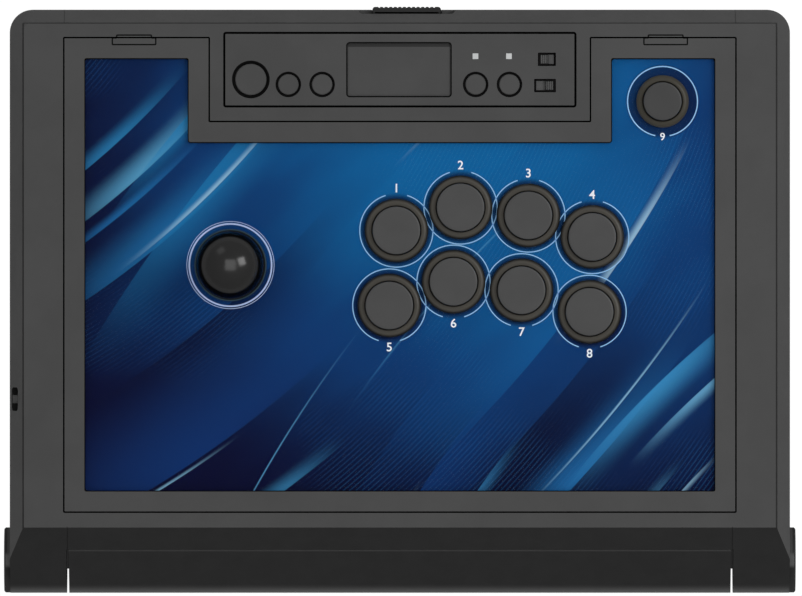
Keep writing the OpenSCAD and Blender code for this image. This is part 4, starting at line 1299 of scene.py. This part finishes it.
@dataclass(frozen=True)
class PushButton:
    """A push button: a ring-shaped rim with its barrel, and a flat plunger, each turned.

    Sizes are in millimetres. The halo is printed round the rim and stays open towards the
    button's number. The rim's painted shade is darkest at its shade radius.
    """

    plunger: str
    body: str
    source: str = "button_bodies"
    rim: Finish = RimPlastic("rim_plastic", "#4d4a44", 0.4, 0.000004, 1400.0)
    cap: Finish = Moulded("plunger_plastic", "#4d4d4d", 0.42, 0.000006, 1800.0)
    rim_r: float = 16.75
    barrel_r: float = 14.9
    groove_r: float = 13.05
    bore_r: float = 12.92
    plunger_r: float = 12.55
    stem_r: float = 1.9
    shade_r: float = 16.75
    halo: Range = (18.95, 19.5)
    halo_open: float = 17.0

    def rim_shape(self) -> Surface:
        """Turns the rim with its barrel about the plunger's axis. It sits on the clear panel.

        Returns:
            The points and the faces.
        """
        low, high = (corner[2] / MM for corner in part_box(self.source))
        seat = top_of("clear_panel") / MM - 0.02
        rim, barrel, groove, bore = self.rim_r, self.barrel_r, self.groove_r, self.bore_r
        corners = [(bore, low, 0), (barrel, low, 0.3), (barrel, seat, 0), (rim, seat, 0.1),
                   (rim, seat + 0.92, 0.4), (rim - 1.5, high, 1.1), (groove, high - 0.05, 0.3),
                   (groove - 0.05, high - 2.0, 0.3), (bore, high - 2.6, 0.2), (bore, low, 0)]
        return turned(middle(self.plunger), rounded_profile(corners)[:-1], closed=True)

    def plunger_shape(self) -> Surface:
        """Turns the plunger: a flat disc with a rounded edge, a skirt and its stem.

        Returns:
            The points and the faces.
        """
        low, high = (corner[2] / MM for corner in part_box(self.plunger))
        stem, edge, under = self.stem_r, self.plunger_r, high - 6.9
        corners = [(0, low, 0), (stem, low, 0.2), (stem, under, 0), (edge, under, 0.3),
                   (edge, high - 0.06, 0.8), (edge - 1.6, high, 0.5), (0, high - 0.02, 0)]
        return turned(middle(self.plunger), rounded_profile(corners))

    def add_rim(self) -> None:
        """Makes the rim, and keeps how far outward each of its points is."""
        surface = self.rim_shape()
        piece = mesh_piece(f"rim_of_{self.plunger}", surface, "lid", self.rim)
        # How far out each point is, from the groove to the shade radius, which sets the rim's
        # painted shade
        away = np.linalg.norm(surface[0][:, :2] - middle(self.plunger)[:2], axis=1) / MM
        share = (away - self.groove_r) / (self.shade_r - self.groove_r)
        made = piece.data.attributes.new("outward", "FLOAT", "POINT")
        made.data.foreach_set("value", share.astype(np.float32))
        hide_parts(self.source)

    def add_cap(self) -> None:
        """Makes the plunger."""
        piece = mesh_piece(f"cap_of_{self.plunger}", self.plunger_shape(), self.body, self.cap)
        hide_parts(self.plunger)

    def halo_ring(self, toward: float, height: float) -> Surface:
        """Makes the ring round the rim at a z in metres, open towards an angle in degrees."""
        start, end = toward + self.halo_open, toward + 360 - self.halo_open
        return flat_ring(middle(self.plunger), *self.halo, height, start, end)


@dataclass
class Buttons:
    """The eight face buttons and the smaller option button."""

    face: tuple[PushButton, ...] = tuple(PushButton(f"plunger_{k}", f"button_{k}")
                                         for k in range(1, 9))
    option: PushButton = PushButton(
        "option_plunger", "option", "option_body",
        RimPlastic("option_rim_plastic", "#444139", 0.4, 0.000004, 1400.0),
        Moulded("option_plunger_plastic", "#454545", 0.42, 0.000006, 1800.0),
        rim_r=13.75, barrel_r=12.4, groove_r=10.55, bore_r=10.42, plunger_r=10.05, shade_r=16.25,
        halo=(18.05, 18.65), halo_open=11.9)

    def build(self) -> None:
        """Makes all the rims, then all the plungers."""
        each = (*self.face, self.option)
        for button in each:
            button.add_rim()
        for button in each:
            button.add_cap()
        log.info("buttons: %d rims and plungers", len(each))


@dataclass
class Panel:
    """The printed sheet, the marks on it and the clear panel over it.

    Marks lie just under the clear panel. Sizes are in millimetres.
    """

    buttons: Buttons
    lift: float = 0.02
    number_out: float = 22.0
    number_size: float = 4.6
    option_number_out: float = 18.7
    option_number_size: float = 3.91
    lever_ring: Range = (21.2, 22.05)
    lever_line: Range = (22.75, 23.05)
    left: ClassVar[Place] = (-420, 380)
    right: ClassVar[Place] = (500, -420)
    art: PrintedArt = PrintedArt("printed_sheet", "#0b3a86", arcs=(
        Arc(left, 403, 9, -48, 9, "#2a86c0", 0.75), Arc(left, 424, 13, -47, 10, "#5fb0dc", 0.75),
        Arc(left, 433, 5.5, -50, 9, "#1c6eae", 0.8), Arc(left, 458, 22, -49, 12, "#1d74b2", 0.8),
        Arc(left, 505, -38, -52, 13, "#070a30", 0.8), Arc(left, 560, 60, -56, 13, "#0a3f86", 0.6),
        Arc(left, 640, 44, -36, 12, "#0d68ac", 0.7), Arc(left, 662, -60, -46, 16, "#07092c", 0.85),
        Arc(left, 700, 22, -43, 9, "#1f74b8", 0.75), Arc(right, 585, 40, 150, 13, "#0a3f84", 0.6),
        Arc(right, 612, -46, 152, 12, "#070a30", 0.75),
        Arc(right, 700, 44, 131, 12, "#0868a8", 0.75), Arc(right, 664, 30, 127, 9, "#0a5c9c", 0.7),
        Arc(right, 772, 26, 141, 9, "#1b7ab6", 0.75), Arc(right, 801, 12, 139, 6, "#1d82bd", 0.8),
        Arc(right, 524, 15, 134, 9, "#3b94cc", 0.85), Arc(right, 506, 7, 132, 7, "#6fb4dc", 0.8),
        Arc(left, 456, 3.4, -45, 9, "#9ccbe8", 0.85), Arc(left, 563, 2.0, -60, 7, "#8cc4e6", 0.9),
        Arc(left, 600, 9.0, -55, 6, "#3f96cc", 0.8), Arc(left, 645, 5.2, -33, 6, "#a8d2ec", 0.85),
        Arc(left, 690, 1.6, -39, 7, "#8cc4e6", 0.9), Arc(left, 735, 6.5, -44, 5, "#5aa6d6", 0.85),
        Arc(right, 588, 2.6, 153, 7, "#9ccbe8", 0.9),
        Arc(right, 560, 7.0, 147, 6, "#3688c0", 0.75),
        Arc(right, 703, 2.4, 130, 6, "#a8d2ec", 0.85),
        Arc(right, 640, 1.6, 138, 8, "#4b9ad0", 0.75),
        Arc(right, 476, 3.0, 139, 5, "#9ccbe8", 0.85),
        Arc(right, 660, 1.2, 150, 9, "#5aa2d4", 0.8)))
    glass: Finish = ClearSheet("clear_sheet", "#20252a")
    halo: Finish = Ink("halo_ink", Inks.RING.value, 0.06)
    lever_ink: Finish = Ink("lever_ink", Inks.LEVER.value, 0.06)
    pale: Finish = Ink("pale_ink", Inks.PALE.value, 0.12)

    def mark_z(self) -> float:
        """Gives the z of the marks, between the sheet and the clear panel, in metres."""
        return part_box("clear_panel")[0][2] - self.lift * MM

    def sides(self) -> list[int]:
        """Gives 1 for each face button in the back row and -1 for each one in the front row."""
        rows = [middle(button.plunger)[1] for button in self.buttons.face]
        return [1 if y > np.mean(rows) else -1 for y in rows]

    def halos(self) -> None:
        """Draws a ring round each button, open towards its number, and two round the lever."""
        height = self.mark_z()
        rings = [button.halo_ring(180 - 90 * side, height)
                 for button, side in zip(self.buttons.face, self.sides())]
        rings.append(self.buttons.option.halo_ring(270, height))
        mesh_piece("button_halos", joined(rings), "lid", self.halo)
        rings = [flat_ring(middle("ball_top"), *ring, height)
                 for ring in (self.lever_ring, self.lever_line)]
        mesh_piece("lever_halos", joined(rings), "lid", self.lever_ink)

    def numbers(self) -> None:
        """Writes the plain numbers 1 to 8 beside the face buttons, and 9 at the option button."""
        marks = [(button, side * self.number_out, self.number_size)
                 for button, side in zip(self.buttons.face, self.sides())]
        marks.append((self.buttons.option, -self.option_number_out, self.option_number_size))
        for k, (button, up, size) in enumerate(marks, 1):
            place = middle(button.plunger)[:2] + (0.0, up * MM)
            numeral(f"number_{k}", place, self.mark_z(), size, self.pale)

    def build(self) -> None:
        """Dresses the sheet and the clear panel and draws the marks."""
        places = tuple(tuple((middle(button.plunger)[:2] / MM).tolist())
                       for button in (*self.buttons.face, self.buttons.option))
        replace(self.art, buttons=places).dress("artwork_sheet")
        self.glass.dress("clear_panel")
        self.halos()
        self.numbers()
        log.info("panel: print, halos and numbers")


@dataclass
class Lever:
    """The ball top, the dust washer and the metal of the lever. Sizes are in millimetres."""

    arc_steps: int = 40
    round_steps: int = 128
    bore_share: float = 1.03
    washer_bore_r: float = 6.15
    # A painted highlight along the washer's outer edge: how far in it ends and its width
    highlight_in: float = 0.15
    highlight_w: float = 0.5
    ball: Finish = BallPlastic("ball_plastic", "#272727", 0.19, 0.0000004, 900.0, 0.03)
    washer: Finish = Moulded("washer_plastic", "#090a0b", 0.5)
    # Colour of the painted highlight on the washer's edge
    edge: Finish = Moulded("washer_rim_highlight", "#304a58", 0.45)
    metal: Dressing = ((Metal("cover_metal", "#c6c6c4", 0.28), ("shaft_cover",)),
                       (Metal("shaft_steel", "#b9bab8", 0.22), ("lever_shaft",)))

    def ball_shape(self) -> Surface:
        """Turns the ball: half-circle points r cos a, z + r sin a, cut flat under the ball.

        Returns:
            The points and the faces.
        """
        low, high = (corner[2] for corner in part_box("ball_top"))
        radius = half_width("ball_top")
        centre = high - radius
        angles = np.linspace(math.asin((low - centre) / radius), math.pi / 2, self.arc_steps)
        arc = np.column_stack([radius * np.cos(angles), centre + radius * np.sin(angles)])
        arc[-1, 0] = 0.0
        start = (half_width("lever_shaft") * self.bore_share, low)
        return turned(middle("ball_top"), np.concatenate([[start], arc]), self.round_steps)

    def washer_shape(self) -> Surface:
        """Turns the dust washer with a rounded outer edge and a shallow dish.

        Returns:
            The points and the faces.
        """
        low, high = (corner[2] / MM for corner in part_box("dust_washer"))
        inner, outer = self.washer_bore_r, half_width("dust_washer") / MM
        corners = [(inner, low, 0), (outer, low, 0.3), (outer, high - 0.05, 0.5),
                   (outer - 1.2, high, 0.4), (outer - 2.0, high - 0.15, 0.6),
                   (inner, high - 0.1, 0.2), (inner, low, 0)]
        return turned(middle("dust_washer"), rounded_profile(corners)[:-1], self.round_steps, True)

    def build(self) -> bpy.types.Object:
        """Makes the ball, the washer and a painted highlight on its edge, and dresses the shaft.

        Returns:
            The ball.
        """
        ball = mesh_piece("ball", self.ball_shape(), "stick", self.ball)
        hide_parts("ball_top")
        self.washer.dress("lower_washer")
        washer = mesh_piece("outer_dust_washer", self.washer_shape(), "outer_washer", self.washer)
        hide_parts("dust_washer")
        # Painted highlight: a pale flat ring along the washer's rounded outer edge
        outer = half_width("dust_washer") / MM - self.highlight_in
        edge = flat_ring(middle("dust_washer"), outer - self.highlight_w, outer, top_of("dust_washer"))
        mesh_piece("washer_rim_highlight", edge, "outer_washer", self.edge)
        dress_all(self.metal)
        log.info("lever: ball, washers and shaft")
        return ball


@dataclass
class ControlStrip:
    """The row of small controls. The rings' inner radii and sizes are in millimetres."""

    home: str = "home_button"
    small: tuple[str, ...] = ("share_button", "function_button", "aux_left_button",
                              "aux_right_button")
    finishes: Dressing = (
        (Moulded("strip_plastic", "#4a4a4a", 0.48), ("control_strip",)),
        (Moulded("button_plastic", "#4c4c4c", 0.4), (home, *small)),
        (Moulded("pad_plastic", "#4b4b4b", 0.38, 0.000004), ("touch_pad",)),
        (Moulded("lens_plastic", "#c6c8c8", 0.25, 0.000004, mottle=0.08), ("status_lenses",)),
        (Moulded("knob_plastic", "#565656", 0.45), ("lock_switch", "mode_switch")),
    )
    # Painted shade: the near-black of the rings in the gaps round the round buttons
    rings: Finish = Moulded("ring_shade", "#090909", 0.6, shine=0.1)
    home_ring_r: float = 8.43
    home_ring_w: float = 1.5
    ring_r: float = 5.63
    ring_w: float = 1.1
    ring_rise: float = 0.06
    ring_down: float = 0.75

    def ring(self, node: str, radius: float, width: float) -> None:
        """Makes the dark rounded ring that a round button stands in; its near-black is painted
        shade of the gap round the button.

        Args:
            node: The button's CAD node.
            radius: The ring's inner radius.
            width: The ring's width.
        """
        top = top_of("control_strip") / MM
        low = top - self.ring_down
        corners = [(radius, low, 0), (radius + width, top + 0.01, 0.05),
                   (radius + width * 0.6, top + self.ring_rise, 0.3), (radius, top - 0.1, 0.1),
                   (radius, low, 0)]
        surface = turned(middle(node), rounded_profile(corners)[:-1], closed=True)
        mesh_piece(f"ring_of_{node}", surface, "lid", self.rings)

    def build(self) -> None:
        """Dresses the strip and its controls and adds the rings."""
        dress_all(self.finishes)
        self.ring(self.home, self.home_ring_r, self.home_ring_w)
        for node in self.small:
            self.ring(node, self.ring_r, self.ring_w)
        log.info("control strip: %d round buttons, pad, lenses and switches", len(self.small) + 1)


@dataclass
class JackPocket:
    """Painted shade in the headset jack's pocket, and the jack's barrel. Sizes are in millimetres.
    """

    width: float = 12.4
    height: float = 8.3
    radius: float = 2.0
    side: Place = (-205.0, 45.8)
    facet: float = 7.2 / 18.2
    end_x: float = -200.25
    centre_z: float = 52.716
    lift: float = 0.06
    barrel_r: Range = (1.8, 2.2)
    barrel_x: float = -203.4
    # Painted shade in the pocket
    shadow_sheet: Finish = Moulded("pocket_shade", "#202020", 0.6, shine=0.0)
    barrel: Finish = Moulded("barrel_plastic", "#525252", 0.4)

    def shadow_sheet_shape(self) -> Surface:
        """Makes a dark sheet of painted shade over the pocket's lower half.

        A point is (x, y, z) for each (y, z) on the lower half of a rounded rectangle, with x
        from the slanted side, x0 + facet * (z - z0), to the pocket's end.

        Returns:
            The points and the faces.
        """
        y0 = middle("headset_jack")[1] / MM
        half_w, half_h = self.width / 2 - self.lift, self.height / 2 - self.lift
        bend = [(half_w - self.radius * (1 - math.cos(t)), self.radius * (1 - math.sin(t)) - half_h)
                for t in np.linspace(0.0, math.pi / 2, 7)]
        outline = [(half_w, 0.0), *bend, *[(-y, z) for y, z in bend[::-1]], (-half_w, 0.0)]
        points = []
        for y, z in outline:
            slant = self.side[0] + self.facet * (self.centre_z + z - self.side[1]) + self.lift
            points += [(x, y0 + y, self.centre_z + z) for x in (slant, self.end_x)]
        faces = [[2 * k, 2 * k + 2, 2 * k + 3, 2 * k + 1] for k in range(len(outline) - 1)]
        return np.array(points) * MM, faces

    def barrel_shape(self) -> Surface:
        """Turns the barrel: points (x, y + r cos t, z + r sin t) for each (r, x) of its profile.

        Returns:
            The points and the faces.
        """
        (inner, outer), near, end = self.barrel_r, self.barrel_x, self.end_x
        profile = np.array([(inner, end), (inner, near), (outer, near), (outer, end)]) * MM
        tube, faces = turned((middle("headset_jack")[1], self.centre_z * MM), profile, 48)
        return np.roll(tube, 1, axis=1), faces

    def build(self) -> None:
        """Makes the sheet of painted shade and the barrel."""
        mesh_piece("jack_pocket_shadow", self.shadow_sheet_shape(), "lid", self.shadow_sheet)
        mesh_piece("jack_barrel", self.barrel_shape(), "lid", self.barrel)
        log.info("jack: pocket and barrel")


@dataclass
class Inside:
    """What shows when the lid is open, and the sockets in the walls."""

    finishes: Dressing = (
        (Metal("plate_steel", "#9c9ea0", 0.36), ("mounting_plate", "lever_mount_plate")),
        (Metal("screw_steel", "#c2c2c0", 0.26, (900.0, 900.0, 900.0)),
         ("plate_screws", "lever_screws", "latch_strike", "e_clip")),
        (Metal("spring_steel", "#b8bab8", 0.24, (60.0, 60.0, 1400.0)),
         ("lever_spring", "latch_spring")),
        (Metal("standoff_brass", "#c9ac5a", 0.28, (600.0, 600.0, 80.0)), ("board_standoffs",)),
        (Metal("socket_metal", "#a6a8aa", 0.3), ("usb_socket",)),
        (Laminate("board_laminate", "#0f4426"), ("control_board", "main_board")),
        (Moulded("switch_plastic", "#26292c", 0.4), ("control_switches", "lever_switches")),
        (Moulded("micro_switch", "#8e4420", 0.45), ("button_switches",)),
        (Moulded("housing_plastic", "#1f1f20", 0.5), ("lever_housing",)),
        (Moulded("gate_plastic", "#bdb8aa", 0.42), ("lever_gate",)),
        (Moulded("nylon_plastic", "#d9d6cc", 0.38), ("pivot_ring", "pivot_ball", "actuator")),
        (Moulded("nut_plastic", "#242424", 0.45), ("button_nuts",)),
        (Moulded("latch_plastic", "#303030", 0.46), ("latch_button",)),
        (Moulded("jack_plastic", "#1c1c1c", 0.35), ("headset_jack",)),
    )

    def build(self) -> None:
        """Dresses the CAD nodes of the inside."""
        dress_all(self.finishes)
        log.info("inside: plates, boards, switches and springs dressed")


def main() -> None:
    """Builds the studio and the fight stick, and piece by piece."""
    logging.basicConfig(level=logging.INFO, format="%(message)s")
    studio, buttons, lever = Studio(), Buttons(), Lever()
    studio.build()
    CaseShell().build()
    Seams().build()
    buttons.build()
    Panel(buttons).build()
    studio.glint(lever.build())
    ControlStrip().build()
    JackPocket().build()
    Inside().build()


if __name__ == "__main__":
    main()
